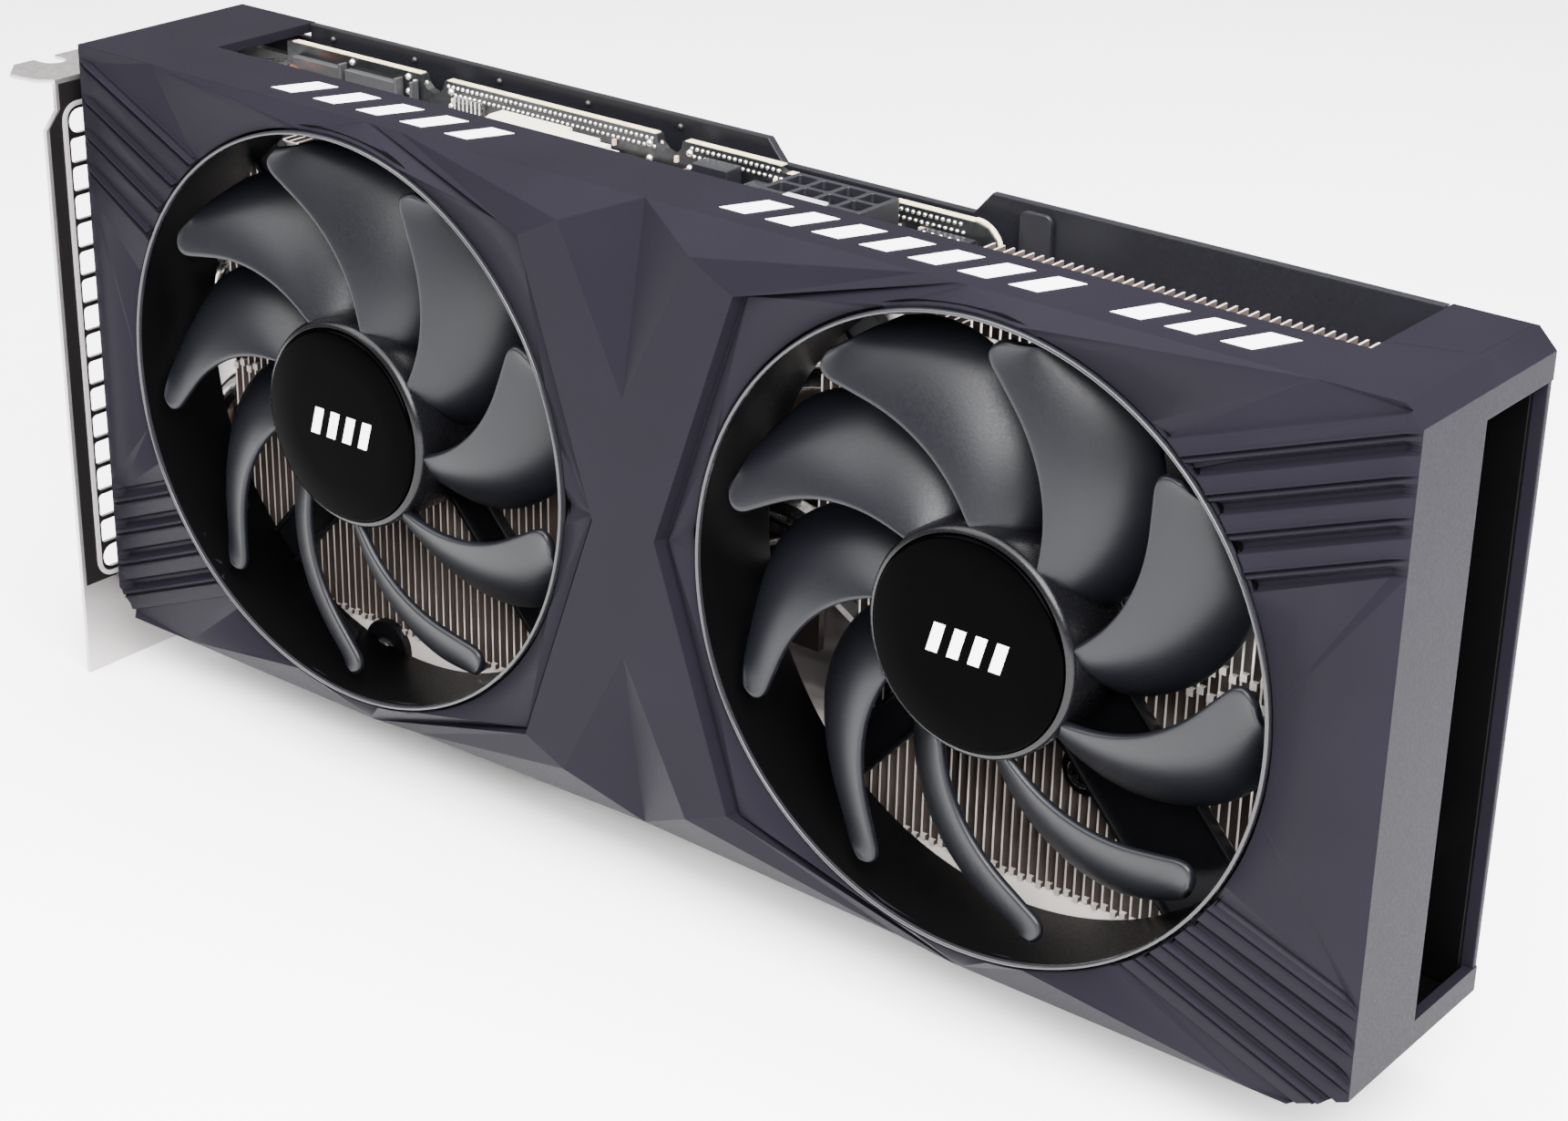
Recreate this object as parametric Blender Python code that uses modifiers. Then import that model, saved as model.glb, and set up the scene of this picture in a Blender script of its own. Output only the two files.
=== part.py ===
"""A two-fan graphics card: plastic shroud, two fans, finned heatsink, circuit board, backplate and bracket.

The card stands on its long edge: X runs along it from the bracket, the fans face -Y and +Z is up.
Sizes below are card millimetres: X from the shroud's bracket end, Y from its front outer edges and
Z from the line where its lower corners start. An empty named card_datum carries every part, so that
the world origin is on the bracket's outer face, where the card is held.
"""

import math

import bmesh
import bpy
from mathutils import Matrix, Vector

MM = 0.001
GAP = 0.3

# Shroud
LENGTH = 245.0
TOP_Z = 98.4
BOTTOM_Z = -4.2
BACK_Y = 36.0
RING_Y = -4.0
X_PLATE_Y = -5.0
WALL = 2.2
FRONT_WALL_Y = 2.0
CHAMFER = 2.8
VENT_START_X = 18.0
VENT_END_X = 230.0
VENT_Y = 14.0
END_VENT_Y = 17.5
END_VENT_Z = (5.0, 92.0)
BRACKET_VENT_Y = 5.0
BRACKET_VENT_Z = (4.5, 90.0)
NOTCH_TIPS_Z = {"top": 69.1, "bottom": 28.1}
NOTCH_CORNERS_Z = {"top": 93.6, "bottom": 4.8}
NOTCH_HALF = 12.4
NOTCH_EDGE_HALF = 49.5

# Fans
FAN_X = {"left": 62.0, "right": 183.0}
MIDDLE_X = (FAN_X["left"] + FAN_X["right"]) / 2
FAN_Z = 48.6
FAN_PHASE = {"left": -7.0, "right": 11.0}
RING_R = 47.0
BLADES = 9
BLADE_TIP_R = 44.5
BLADE_T = 1.3
BLADE_MIDDLE = -2.8
BLADE_HALF = 4.8
BLADE_CAMBER = 1.6
HUB_R = 17.2
HUB_WALL = 1.6
HUB_FRONT = 3.0
HUB_BACK = -10.6
HUB_FACE_T = 2.0
CAP_R = 15.8
CAP_T = 0.8
MOUNT_R = 13.0
MOUNT_FRONT = -12.2
MOUNT_BACK = -13.7
SHAFT_R = 1.25
BEARING_HOLE_R = 1.35
BEARING_R = 2.6
STATOR_R = 12.4
STATOR_MIDDLE = -5.6
STATOR_HALF = 3.6
POLES = 6
MAGNET_R = 15.2
MAGNET_T = 1.6
DRIVER_R = 10.5
ARM_ANGLES = (48, 132, 228, 312)
ARM_HALF = 3.4
ARM_END_R = 54.0
FOOT_HALF = 2.2

# Heatsink
FIN_FRONT_Y = 14.3
FIN_WEB_Y = 19.0
FIN_BACK_Y = 19.6
FIN_PITCH = 1.6
FIN_T = 0.35
FIN_LOW_Z = 3.0
FIN_TOP_Z = 86.0
FIN_TALL_Z = 95.0
FIN_SPANS = {"left": (16.0, 45), "right": (150.4, 49)}
TALL_FROM_X = 172.0
PIPE_R = 2.4
PIPE_Y = 22.4
PIPE_ENDS_Z = (16.0, 37.0, 61.0, 81.0)
PIPE_CORE_GAP = 0.8
PLATE_Y = (25.2, 26.6)
PLATE_X = (80.0, 136.0)
PLATE_Z = (22.0, 75.0)
FRAME_X = (60.0, 146.0)
FRAME_Y = (26.9, 27.5)
FRAME_Z = (4.0, 92.0)
FRAME_OVERLAP = 4.0

# Circuit board
BOARD_Y = (29.4, 31.0)
BOARD_END_X = 163.0
BOARD_TOP_Z = 96.5
BOARD_LOW_Z = -6.4
EDGE_Z = -14.7
EDGE_X = (46.0, 131.0)
KEY_X = (57.7, 59.6)
KEY_DEPTH = 7.2
BOARD_NOTCHES_X = (102.0, 52.0)
BOARD_NOTCH_R = 2.6
GPU_X = 108.0
GPU_Z = 48.6
SUBSTRATE_HALF = 20.0
SUBSTRATE_T = 1.2
DIE_HALF = (10.0, 8.0)
DIE_FRONT_Y = 26.9
MEMORY_HALF = (6.0, 7.0)
MEMORY_SPOTS = ((-36, 14), (-36, -14), (30, 14), (30, -14), (-12, 34), (12, 34))
CHOKES = 5
CHOKE_PITCH = 16.0
CAPACITORS = 3
CAPACITOR_PITCH = 16.0

# Sockets
POWER_X = (130.0, 148.4)
POWER_Y = (15.8, 25.6)
POWER_Z = (85.0, 97.8)
CELL_PITCH = 4.4
CELL_HALF = 1.85
CELL_FLOOR_Z = 87.0
HEADER_X = (151.0, 158.5)
HEADER_FRONT_Y = 23.5
HEADER_Z = (86.0, 92.0)
SOCKET_WIDTH = 6.0
SOCKET_END_X = 11.0
SOCKET_WALL = 0.6
DISPLAY_SOCKETS = {
    "displayport_socket_1": (77.0, 17.2),
    "displayport_socket_2": (55.5, 17.2),
    "displayport_socket_3": (34.0, 17.2),
    "hdmi_socket": (13.5, 16.2),
}

# Backplate and bracket
PLATE_BACK_Y = (34.4, 36.0)
BRACKET_X = (-4.4, -3.6)
BRACKET_Y = (-5.04, 33.7)
BRACKET_LOW_Z = -15.5
TAB_Z = (91.5, 92.3)
TAB_LENGTH = 11.43
TAB_NOTCHES_Y = (5.4, 25.7)
TAB_NOTCH_HALF = 2.2
NECK = 2.6
NECK_Z = (84.0, 87.0)
VENT_CELLS = 17
VENT_PITCH = 4.95
VENT_BAR = 1.1
VENT_CELLS_Y = (-1.0, 16.0)
VENT_CELLS_LOW_Z = 3.4
BACK_SLOTS = 6
BACK_SLOT_PITCH = 9.0
BACK_SCREW_OFFSET = 28.0
BACK_SCREW_HOLE_R = 3.3

# Screws
BACK_HEAD_R = 2.6
BRACKET_HEAD_R = 2.4
HEAD_T = 1.1
SHANK_R = 1.2
BRACKET_SCREWS_Z = (0.5, 88.5)
CABLE_R = 0.6

# The world origin in card millimetres: the bracket's outer face, at half its height
ORIGIN = Vector((BRACKET_X[0], 19.0, (BRACKET_LOW_Z + TAB_Z[1]) / 2))

COLOURS = {
    "shroud": ((0.045, 0.042, 0.055), 0.42, 0.0),
    "fan_plastic": ((0.022, 0.024, 0.030), 0.55, 0.0),
    "cap": ((0.004, 0.004, 0.005), 0.08, 0.0),
    "fins": ((0.62, 0.58, 0.55), 0.35, 1.0),
    "copper": ((0.80, 0.42, 0.28), 0.35, 1.0),
    "steel": ((0.68, 0.65, 0.65), 0.25, 1.0),
    "board": ((0.010, 0.011, 0.012), 0.5, 0.0),
    "chip": ((0.02, 0.02, 0.022), 0.4, 0.0),
    "die": ((0.25, 0.27, 0.32), 0.15, 0.5),
    "ferrite": ((0.12, 0.12, 0.13), 0.6, 0.0),
    "can": ((0.75, 0.75, 0.77), 0.3, 1.0),
    "backplate": ((0.015, 0.016, 0.019), 0.45, 0.3),
    "pad": ((0.45, 0.46, 0.50), 0.8, 0.0),
    "magnet": ((0.05, 0.05, 0.055), 0.6, 0.2),
    "cable": ((0.05, 0.05, 0.05), 0.6, 0.0),
    "connector": ((0.012, 0.012, 0.014), 0.5, 0.0),
    "frame": ((0.60, 0.58, 0.57), 0.4, 1.0),
}


# --- Scene and helpers ---------------------------------------------------------------------------


def clear_scene():
    for obj in list(bpy.data.objects):
        bpy.data.objects.remove(obj, do_unlink=True)


def new_collection(name):
    collection = bpy.data.collections.new(name)
    bpy.context.scene.collection.children.link(collection)
    return collection


def material(key):
    """The named Principled material, made on first use."""
    found = bpy.data.materials.get(key)
    if found:
        return found
    colour, roughness, metallic = COLOURS[key]
    made = bpy.data.materials.new(key)
    made.use_nodes = True
    shader = made.node_tree.nodes["Principled BSDF"]
    shader.inputs["Base Color"].default_value = (*colour, 1)
    shader.inputs["Roughness"].default_value = roughness
    shader.inputs["Metallic"].default_value = metallic
    return made


clear_scene()
CARD = new_collection("graphics_card")
CUTTERS = new_collection("cutters")
DATUM = bpy.data.objects.new("card_datum", None)
DATUM.location = -ORIGIN * MM
CARD.objects.link(DATUM)


def place(name, data, key, parent=None, collection=CARD):
    """An object holding this mesh or curve, with its material, under the card's datum."""
    obj = bpy.data.objects.new(name, data)
    obj.parent = parent or DATUM
    collection.objects.link(obj)
    if key:
        data.materials.append(material(key))
    return obj


def as_cutter(obj):
    """Takes an object out of the card and keeps it as a hidden cutter."""
    for collection in list(obj.users_collection):
        collection.objects.unlink(obj)
    CUTTERS.objects.link(obj)
    obj.hide_render = True
    obj.display_type = "WIRE"
    return obj


def mesh_of(name, build, *args):
    mesh = bpy.data.meshes.new(name)
    shape = bmesh.new()
    build(shape, *args)
    bmesh.ops.recalc_face_normals(shape, faces=shape.faces)
    shape.to_mesh(mesh)
    shape.free()
    return mesh


def box_into(shape, low, high):
    low = Vector(low) * MM
    high = Vector(high) * MM
    made = bmesh.ops.create_cube(shape, size=1)["verts"]
    bmesh.ops.scale(shape, vec=high - low, verts=made)
    bmesh.ops.translate(shape, vec=(low + high) / 2, verts=made)


def box(name, low, high, key, parent=None):
    return place(name, mesh_of(name, box_into, low, high), key, parent)


def hull_into(shape, points):
    for point in points:
        shape.verts.new(Vector(point) * MM)
    made = bmesh.ops.convex_hull(shape, input=shape.verts[:])
    loose = [v for v in made["geom_interior"] if isinstance(v, bmesh.types.BMVert)]
    bmesh.ops.delete(shape, geom=loose, context="VERTS")


def hull(name, points, key):
    return place(name, mesh_of(name, hull_into, points), key)


def cylinder_into(shape, radius, low, high, segments, centre=(0, 0)):
    """An upright cylinder between two heights."""
    spot = Matrix.Translation(Vector((*centre, (low + high) / 2)) * MM)
    bmesh.ops.create_cone(
        shape,
        cap_ends=True,
        segments=segments,
        radius1=radius * MM,
        radius2=radius * MM,
        depth=(high - low) * MM,
        matrix=spot,
    )


def cylinder(name, radius, low, high, segments, key, parent=None):
    return place(name, mesh_of(name, cylinder_into, radius, low, high, segments), key, parent)


def turned(name, profile, steps, key, parent=None):
    """A solid turned about its own Z: the profile runs down its outer side, top to bottom."""
    mesh = bpy.data.meshes.new(name)
    points = [(x * MM, 0, z * MM) for x, z in profile]
    edges = [(i, i + 1) for i in range(len(points) - 1)]
    if profile[0][0] > 0:
        edges.append((len(points) - 1, 0))
    mesh.from_pydata(points, edges, [])
    obj = place(name, mesh, key, parent)
    screw = obj.modifiers.new("turn", "SCREW")
    screw.steps = steps
    screw.render_steps = steps
    screw.use_merge_vertices = True
    screw.merge_threshold = 0.00001
    return obj


def outline(name, loops, half_thickness, key, parent=None):
    """A flat plate from closed outlines in its own XY plane, holes included."""
    curve = bpy.data.curves.new(name, "CURVE")
    curve.dimensions = "2D"
    curve.fill_mode = "BOTH"
    curve.extrude = half_thickness * MM
    for loop in loops:
        spline = curve.splines.new("POLY")
        spline.points.add(len(loop) - 1)
        for point, (x, y) in zip(spline.points, loop):
            point.co = (x * MM, y * MM, 0, 1)
        spline.use_cyclic_u = True
    return place(name, curve, key, parent)


def solidified_curve(obj):
    """The curve made a closed mesh, so that it can be cut or joined."""
    bpy.context.view_layer.update()
    graph = bpy.context.evaluated_depsgraph_get()
    mesh = bpy.data.meshes.new_from_object(obj.evaluated_get(graph))
    shape = bmesh.new()
    shape.from_mesh(mesh)
    bmesh.ops.remove_doubles(shape, verts=shape.verts, dist=0.00001)
    bmesh.ops.recalc_face_normals(shape, faces=shape.faces)
    shape.to_mesh(mesh)
    shape.free()
    name = obj.name
    parent = obj.parent
    matrix = obj.matrix_basis.copy()
    bpy.data.objects.remove(obj)
    made = place(name, mesh, None, parent)
    made.matrix_basis = matrix
    return made


def front_plate(name, loops, y_front, y_back, key):
    """A plate whose outline lies in the card's X-Z plane, between two Y."""
    obj = outline(name, loops, (y_back - y_front) / 2, key)
    obj.location = Vector((0, (y_front + y_back) / 2, 0)) * MM
    obj.rotation_euler = (math.radians(90), 0, 0)
    return solidified_curve(obj)


def tube(name, points, radius, key, resolution=2):
    curve = bpy.data.curves.new(name, "CURVE")
    curve.dimensions = "3D"
    curve.bevel_depth = radius * MM
    curve.bevel_resolution = resolution
    curve.use_fill_caps = True
    spline = curve.splines.new("POLY")
    spline.points.add(len(points) - 1)
    for point, place_at in zip(spline.points, points):
        point.co = (*(Vector(place_at) * MM), 1)
    return place(name, curve, key)


def boolean(obj, other, operation):
    as_cutter(other)
    modifier = obj.modifiers.new(other.name, "BOOLEAN")
    modifier.operation = operation
    modifier.object = other
    modifier.solver = "EXACT"


def cut(obj, other):
    boolean(obj, other, "DIFFERENCE")


def join(obj, other):
    boolean(obj, other, "UNION")


def arc(centre, radius, start, end, count):
    """Points on a circle, angles in degrees."""
    steps = [math.radians(start + (end - start) * i / (count - 1)) for i in range(count)]
    return [(centre[0] + radius * math.cos(a), centre[1] + radius * math.sin(a)) for a in steps]


def rectangle(x_low, x_high, z_low, z_high):
    return [(x_low, z_low), (x_high, z_low), (x_high, z_high), (x_low, z_high)]


def smooth_path(points, per_span):
    """Points along a Catmull-Rom curve through the given ones."""
    ends = [points[0], *points, points[-1]]
    found = []
    for i in range(1, len(ends) - 2):
        a, b, c, d = (Vector(p) for p in ends[i - 1 : i + 3])
        for step in range(per_span):
            t = step / per_span
            along = b * 2 + (c - a) * t + (a * 2 - b * 5 + c * 4 - d) * t**2
            found.append((along + (b * 3 - c * 3 + d - a) * t**3) / 2)
    return [*found, Vector(points[-1])]


# --- Shroud --------------------------------------------------------------------------------------


def shroud_shell():
    """The outer form: square edges all round, and a front that bulges to the rings and the middle."""
    corners = []
    for z, inset in ((TOP_Z, 0), (0.2, 0), (BOTTOM_Z, 8.0)):
        corners += [(CHAMFER + inset, 0, z), (LENGTH - CHAMFER - inset, 0, z)]
        corners += [(inset, CHAMFER, z), (LENGTH - inset, CHAMFER, z)]
        corners += [(inset, BACK_Y, z), (LENGTH - inset, BACK_Y, z)]
    for x in FAN_X.values():
        corners += [(px, RING_Y, pz) for px, pz in arc((x, FAN_Z), RING_R + 1, 0, 352.5, 48)]
    for z in NOTCH_CORNERS_Z.values():
        corners += [(MIDDLE_X + side * NOTCH_HALF, X_PLATE_Y, z) for side in (-1, 1)]
    return hull("shroud", corners, "shroud")


def shroud_cavity():
    deep = BACK_Y + 5
    inside = []
    for y in (FRONT_WALL_Y, deep):
        inside += [(WALL, y, TOP_Z - WALL), (LENGTH - WALL, y, TOP_Z - WALL)]
        inside += [(WALL, y, 2.5), (LENGTH - WALL, y, 2.5)]
        inside += [(12, y, BOTTOM_Z + WALL), (LENGTH - 12, y, BOTTOM_Z + WALL)]
    return hull("cut_cavity", inside, None)


def notch(name, tip_z, corner_z, edge_z):
    """The V between the fans: two facets that meet in a valley, and two more out to the edge."""
    tip = (MIDDLE_X, X_PLATE_Y, tip_z)
    valley = (MIDDLE_X, 0, edge_z)
    corners = [(MIDDLE_X + side * NOTCH_HALF, X_PLATE_Y, corner_z) for side in (-1, 1)]
    ends = [(MIDDLE_X + side * NOTCH_EDGE_HALF, 0, edge_z) for side in (-1, 1)]
    outward = Vector((0, 2 * X_PLATE_Y, 0))

    def facets(shape):
        at = {point: shape.verts.new(Vector(point) * MM) for point in [tip, valley, *corners, *ends]}
        for corner, end in zip(corners, ends):
            shape.faces.new([at[tip], at[corner], at[valley]])
            shape.faces.new([at[corner], at[end], at[valley]])
        lifted = bmesh.ops.extrude_face_region(shape, geom=shape.faces[:])["geom"]
        moved = [v for v in lifted if isinstance(v, bmesh.types.BMVert)]
        bmesh.ops.translate(shape, vec=outward * MM, verts=moved)

    return place(name, mesh_of(name, facets), None)


def build_shroud():
    shell = shroud_shell()
    cut(shell, shroud_cavity())
    for side, x in FAN_X.items():
        opening = cylinder(f"cut_ring_{side}", RING_R, -10, 10, 48, None)
        opening.location = Vector((x, 0, FAN_Z)) * MM
        opening.rotation_euler = (math.radians(90), 0, 0)
        cut(shell, opening)
    for side, edge_z in (("top", TOP_Z + 0.1), ("bottom", BOTTOM_Z - 0.1)):
        cut(shell, notch(f"cut_notch_{side}", NOTCH_TIPS_Z[side], NOTCH_CORNERS_Z[side], edge_z))
    behind = BACK_Y + 5
    vents = {
        "top": ((VENT_START_X, VENT_Y, 90), (VENT_END_X, behind, TOP_Z + 5)),
        "bottom": ((VENT_START_X, VENT_Y, BOTTOM_Z - 5), (VENT_END_X, behind, 4)),
        "end": ((LENGTH - 5, END_VENT_Y, END_VENT_Z[0]), (LENGTH + 5, behind, END_VENT_Z[1])),
        "bracket_end": ((-5, BRACKET_VENT_Y, BRACKET_VENT_Z[0]), (5, behind, BRACKET_VENT_Z[1])),
    }
    for name, (low, high) in vents.items():
        cut(shell, box(f"cut_{name}", low, high, None))


# --- Fans ----------------------------------------------------------------------------------------


def blade_surface(shape):
    """One blade: an open sheet, narrow at the root, swept counter-clockwise and round at the tip."""
    rings = 8
    columns = 5
    rows = []
    for i in range(rings):
        s = i / (rings - 1)
        radius = HUB_R - 1.0 + (BLADE_TIP_R - HUB_R + 1.0) * s
        sweep = math.radians(-12 + 42 * s**1.2)
        half_chord = 4.2 + 6.2 * min(s / 0.75, 1) ** 0.8
        if s > 0.85:
            half_chord *= math.sqrt(1 - 0.7 * ((s - 0.85) / 0.15) ** 2)
        row = []
        for j in range(columns):
            t = 2 * j / (columns - 1) - 1
            angle = sweep + t * half_chord / radius
            height = BLADE_MIDDLE + t * BLADE_HALF + BLADE_CAMBER * (1 - t * t)
            point = Vector((radius * math.cos(angle), radius * math.sin(angle), height))
            row.append(shape.verts.new(point * MM))
        rows.append(row)
    for low, high in zip(rows, rows[1:]):
        for j in range(columns - 1):
            shape.faces.new([low[j], high[j], high[j + 1], low[j + 1]])


def blades_into(shape, phase):
    """Nine thick blades, each its own body, set evenly round the hub."""
    single = bmesh.new()
    blade_surface(single)
    sheet = bpy.data.meshes.new("blade_sheet")
    single.to_mesh(sheet)
    single.free()
    for k in range(BLADES):
        before = set(shape.verts)
        shape.from_mesh(sheet)
        new = [v for v in shape.verts if v not in before]
        turn = Matrix.Rotation(math.radians(360 / BLADES * k + phase), 3, "Z")
        bmesh.ops.rotate(shape, verts=new, cent=(0, 0, 0), matrix=turn)
    bmesh.ops.solidify(shape, geom=shape.faces[:], thickness=BLADE_T * MM)
    bpy.data.meshes.remove(sheet)


def fan_axis(side):
    """An empty on the fan's axis: its Z points out of the fan's front."""
    axis = bpy.data.objects.new(f"fan_{side}_axis", None)
    axis.parent = DATUM
    axis.location = Vector((FAN_X[side], 0, FAN_Z)) * MM
    axis.rotation_euler = (math.radians(90), 0, 0)
    CARD.objects.link(axis)
    return axis


def build_rotor(side, axis):
    inner = HUB_R - HUB_WALL
    profile = [
        (0, HUB_FRONT),
        (HUB_R - 0.8, HUB_FRONT),
        (HUB_R, HUB_FRONT - 0.8),
        (HUB_R, HUB_BACK),
        (inner, HUB_BACK),
        (inner, HUB_FRONT - HUB_FACE_T),
        (0, HUB_FRONT - HUB_FACE_T),
    ]
    rotor = turned(f"fan_{side}_rotor", profile, 32, "fan_plastic", axis)
    blades = mesh_of("blades", blades_into, FAN_PHASE[side])
    join(rotor, place(f"add_blades_{side}", blades, None, axis))


def build_motor(side, axis):
    """Cap, shaft and magnet turn with the rotor; bearing, stator and driver board stay."""
    cap_low = HUB_FRONT + GAP
    cylinder(f"fan_{side}_cap", CAP_R, cap_low, cap_low + CAP_T, 32, "cap", axis)
    shaft_top = HUB_FRONT - HUB_FACE_T - GAP
    cylinder(f"fan_{side}_shaft", SHAFT_R, MOUNT_FRONT + GAP, shaft_top, 24, "steel", axis)
    magnet_in = MAGNET_R - MAGNET_T
    magnet = [(MAGNET_R, 0.2), (MAGNET_R, -9), (magnet_in, -9), (magnet_in, 0.2)]
    turned(f"fan_{side}_magnet", magnet, 24, "magnet", axis)
    bearing_low = MOUNT_FRONT + GAP
    bearing = [(BEARING_R, -1), (BEARING_R, bearing_low), (BEARING_HOLE_R, bearing_low)]
    turned(f"fan_{side}_bearing", [*bearing, (BEARING_HOLE_R, -1)], 24, "copper", axis)
    build_stator(side, axis)
    hole_r = BEARING_R + GAP
    board = [(DRIVER_R, -10.3), (DRIVER_R, -11.5), (hole_r, -11.5), (hole_r, -10.3)]
    turned(f"fan_{side}_driver_board", board, 20, "board", axis)


def build_stator(side, axis):
    """A ring with six broad pole shoes."""
    hole = arc((0, 0), BEARING_R + GAP, 0, 342, 20)
    teeth = []
    for pole in range(POLES):
        centre = 360 / POLES * pole
        teeth += arc((0, 0), 7, centre - 26, centre - 12, 2)
        teeth += arc((0, 0), STATOR_R, centre - 24, centre + 24, 5)
        teeth += arc((0, 0), 7, centre + 12, centre + 26, 2)
    stator = outline(f"fan_{side}_stator", [teeth, hole], STATOR_HALF, "copper", axis)
    stator.location = Vector((0, 0, STATOR_MIDDLE)) * MM


def build_mount(side, axis):
    """The fixed base behind the hub, with four arms out to feet under the shroud's front."""
    name = f"fan_{side}_mount"
    mount = cylinder(name, MOUNT_R, MOUNT_BACK, MOUNT_FRONT, 32, "fan_plastic", axis)
    middle = (MOUNT_FRONT + MOUNT_BACK) / 2
    for k, angle in enumerate(ARM_ANGLES):
        turn = math.radians(angle)

        def arm(shape):
            box_into(shape, (MOUNT_R - 4, -ARM_HALF, MOUNT_BACK), (ARM_END_R, ARM_HALF, MOUNT_FRONT))

        def foot(shape):
            low = (ARM_END_R - 3.5, -FOOT_HALF, middle)
            box_into(shape, low, (ARM_END_R + 0.5, FOOT_HALF, -FRONT_WALL_Y - GAP))

        for part, build in (("arm", arm), ("foot", foot)):
            name = f"add_{part}_{side}_{k}"
            piece = place(name, mesh_of(name, build), None, axis)
            piece.rotation_euler = (0, 0, turn)
            join(mount, piece)


# --- Heatsink ------------------------------------------------------------------------------------


def build_fins(side):
    """A comb of upright fins standing on a thin web, with their free edges to the front."""
    start, count = FIN_SPANS[side]
    end = start + (count - 1) * FIN_PITCH + FIN_T
    top = FIN_TOP_Z if side == "left" else FIN_TALL_Z
    comb = [(end, FIN_BACK_Y), (start, FIN_BACK_Y)]
    for k in range(count):
        x = start + k * FIN_PITCH
        if k > 0:
            comb.append((x, FIN_WEB_Y))
        comb += [(x, FIN_FRONT_Y), (x + FIN_T, FIN_FRONT_Y)]
        if k < count - 1:
            comb.append((x + FIN_T, FIN_WEB_Y))
    obj = outline(f"fin_stack_{side}", [comb], (top - FIN_LOW_Z) / 2, "fins")
    obj.location = Vector((0, 0, (top + FIN_LOW_Z) / 2)) * MM
    if side == "right":
        stack = solidified_curve(obj)
        low = (start - 5, FIN_FRONT_Y - 5, FIN_TOP_Z)
        cut(stack, box("cut_fin_step", low, (TALL_FROM_X, FIN_BACK_Y + 5, FIN_TALL_Z + 5), None))


def build_pipes():
    """Four flat-lying pipes that gather over the cold plate and spread under the fins."""
    last = len(PIPE_ENDS_Z) - 1
    for k, end_z in enumerate(PIPE_ENDS_Z):
        core_z = GPU_Z + (k - last / 2) * (2 * PIPE_R + PIPE_CORE_GAP)
        left = [(22, PIPE_Y, end_z), (40, PIPE_Y, end_z), (58, PIPE_Y, (end_z * 2 + core_z) / 3)]
        if k == last:
            left = [(22.5, PIPE_Y, 95.0), (23.5, PIPE_Y, 88.5), (34, PIPE_Y, 82), (58, PIPE_Y, 72)]
        core = [(82, PIPE_Y, core_z), (108, PIPE_Y, core_z), (134, PIPE_Y, core_z)]
        right = [(160, PIPE_Y, (end_z * 2 + core_z) / 3), (185, PIPE_Y, end_z), (227, PIPE_Y, end_z)]
        tube(f"heat_pipe_{k + 1}", smooth_path([*left, *core, *right], 2), PIPE_R, "copper")


def build_cold_plate():
    low = (PLATE_X[0], PLATE_Y[0], PLATE_Z[0])
    box("cold_plate", low, (PLATE_X[1], PLATE_Y[1], PLATE_Z[1]), "copper")


def build_frame():
    """The thin plate round the graphics chip that spreads the heatsink's load over the board."""
    outer = rectangle(*FRAME_X, *FRAME_Z)
    lap = FRAME_OVERLAP
    window = rectangle(PLATE_X[0] + lap, PLATE_X[1] - lap, PLATE_Z[0] + lap, PLATE_Z[1] - lap)
    front_plate("heatsink_frame", [outer, window], *FRAME_Y, "frame")


# --- Circuit board -------------------------------------------------------------------------------


def build_board():
    """The board, its key notch and its two round notches in the top edge."""
    top = BOARD_TOP_Z
    clear_x = VENT_START_X + 2 * GAP
    edge = [(4, 3), (clear_x, 3), (clear_x, BOARD_LOW_Z)]
    edge += [(EDGE_X[0], BOARD_LOW_Z), (EDGE_X[0], EDGE_Z + 1)]
    edge += [(EDGE_X[0] + 1, EDGE_Z), (KEY_X[0], EDGE_Z), (KEY_X[0], EDGE_Z + KEY_DEPTH)]
    edge += [(KEY_X[1], EDGE_Z + KEY_DEPTH), (KEY_X[1], EDGE_Z), (EDGE_X[1] - 1, EDGE_Z)]
    edge += [(EDGE_X[1], EDGE_Z + 1), (EDGE_X[1], BOARD_LOW_Z), (BOARD_END_X, BOARD_LOW_Z)]
    edge += arc((BOARD_END_X - 4, top - 5), 4, 0, 90, 4)
    edge += [(124, top - 1), (121, top)]
    for x in BOARD_NOTCHES_X:
        edge += arc((x, top), BOARD_NOTCH_R, 0, -180, 7)
    edge += [(18, top), (18, 94), (4, 94)]
    front_plate("circuit_board", [edge], BOARD_Y[0], BOARD_Y[1], "board")


def build_chips():
    """The graphics chip on its carrier, and six memory chips round it."""
    face = BOARD_Y[0] - GAP
    top = face - SUBSTRATE_T
    half = SUBSTRATE_HALF
    low = (GPU_X - half, top, GPU_Z - half)
    box("gpu_substrate", low, (GPU_X + half, face, GPU_Z + half), "chip")
    low = (GPU_X - DIE_HALF[0], DIE_FRONT_Y, GPU_Z - DIE_HALF[1])
    box("gpu_die", low, (GPU_X + DIE_HALF[0], top - GAP, GPU_Z + DIE_HALF[1]), "die")
    for k, (right, up) in enumerate(MEMORY_SPOTS):
        low = (GPU_X + right - MEMORY_HALF[0], face - 1.0, GPU_Z + up - MEMORY_HALF[1])
        high = (GPU_X + right + MEMORY_HALF[0], face, GPU_Z + up + MEMORY_HALF[1])
        box(f"memory_chip_{k + 1}", low, high, "chip")


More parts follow.
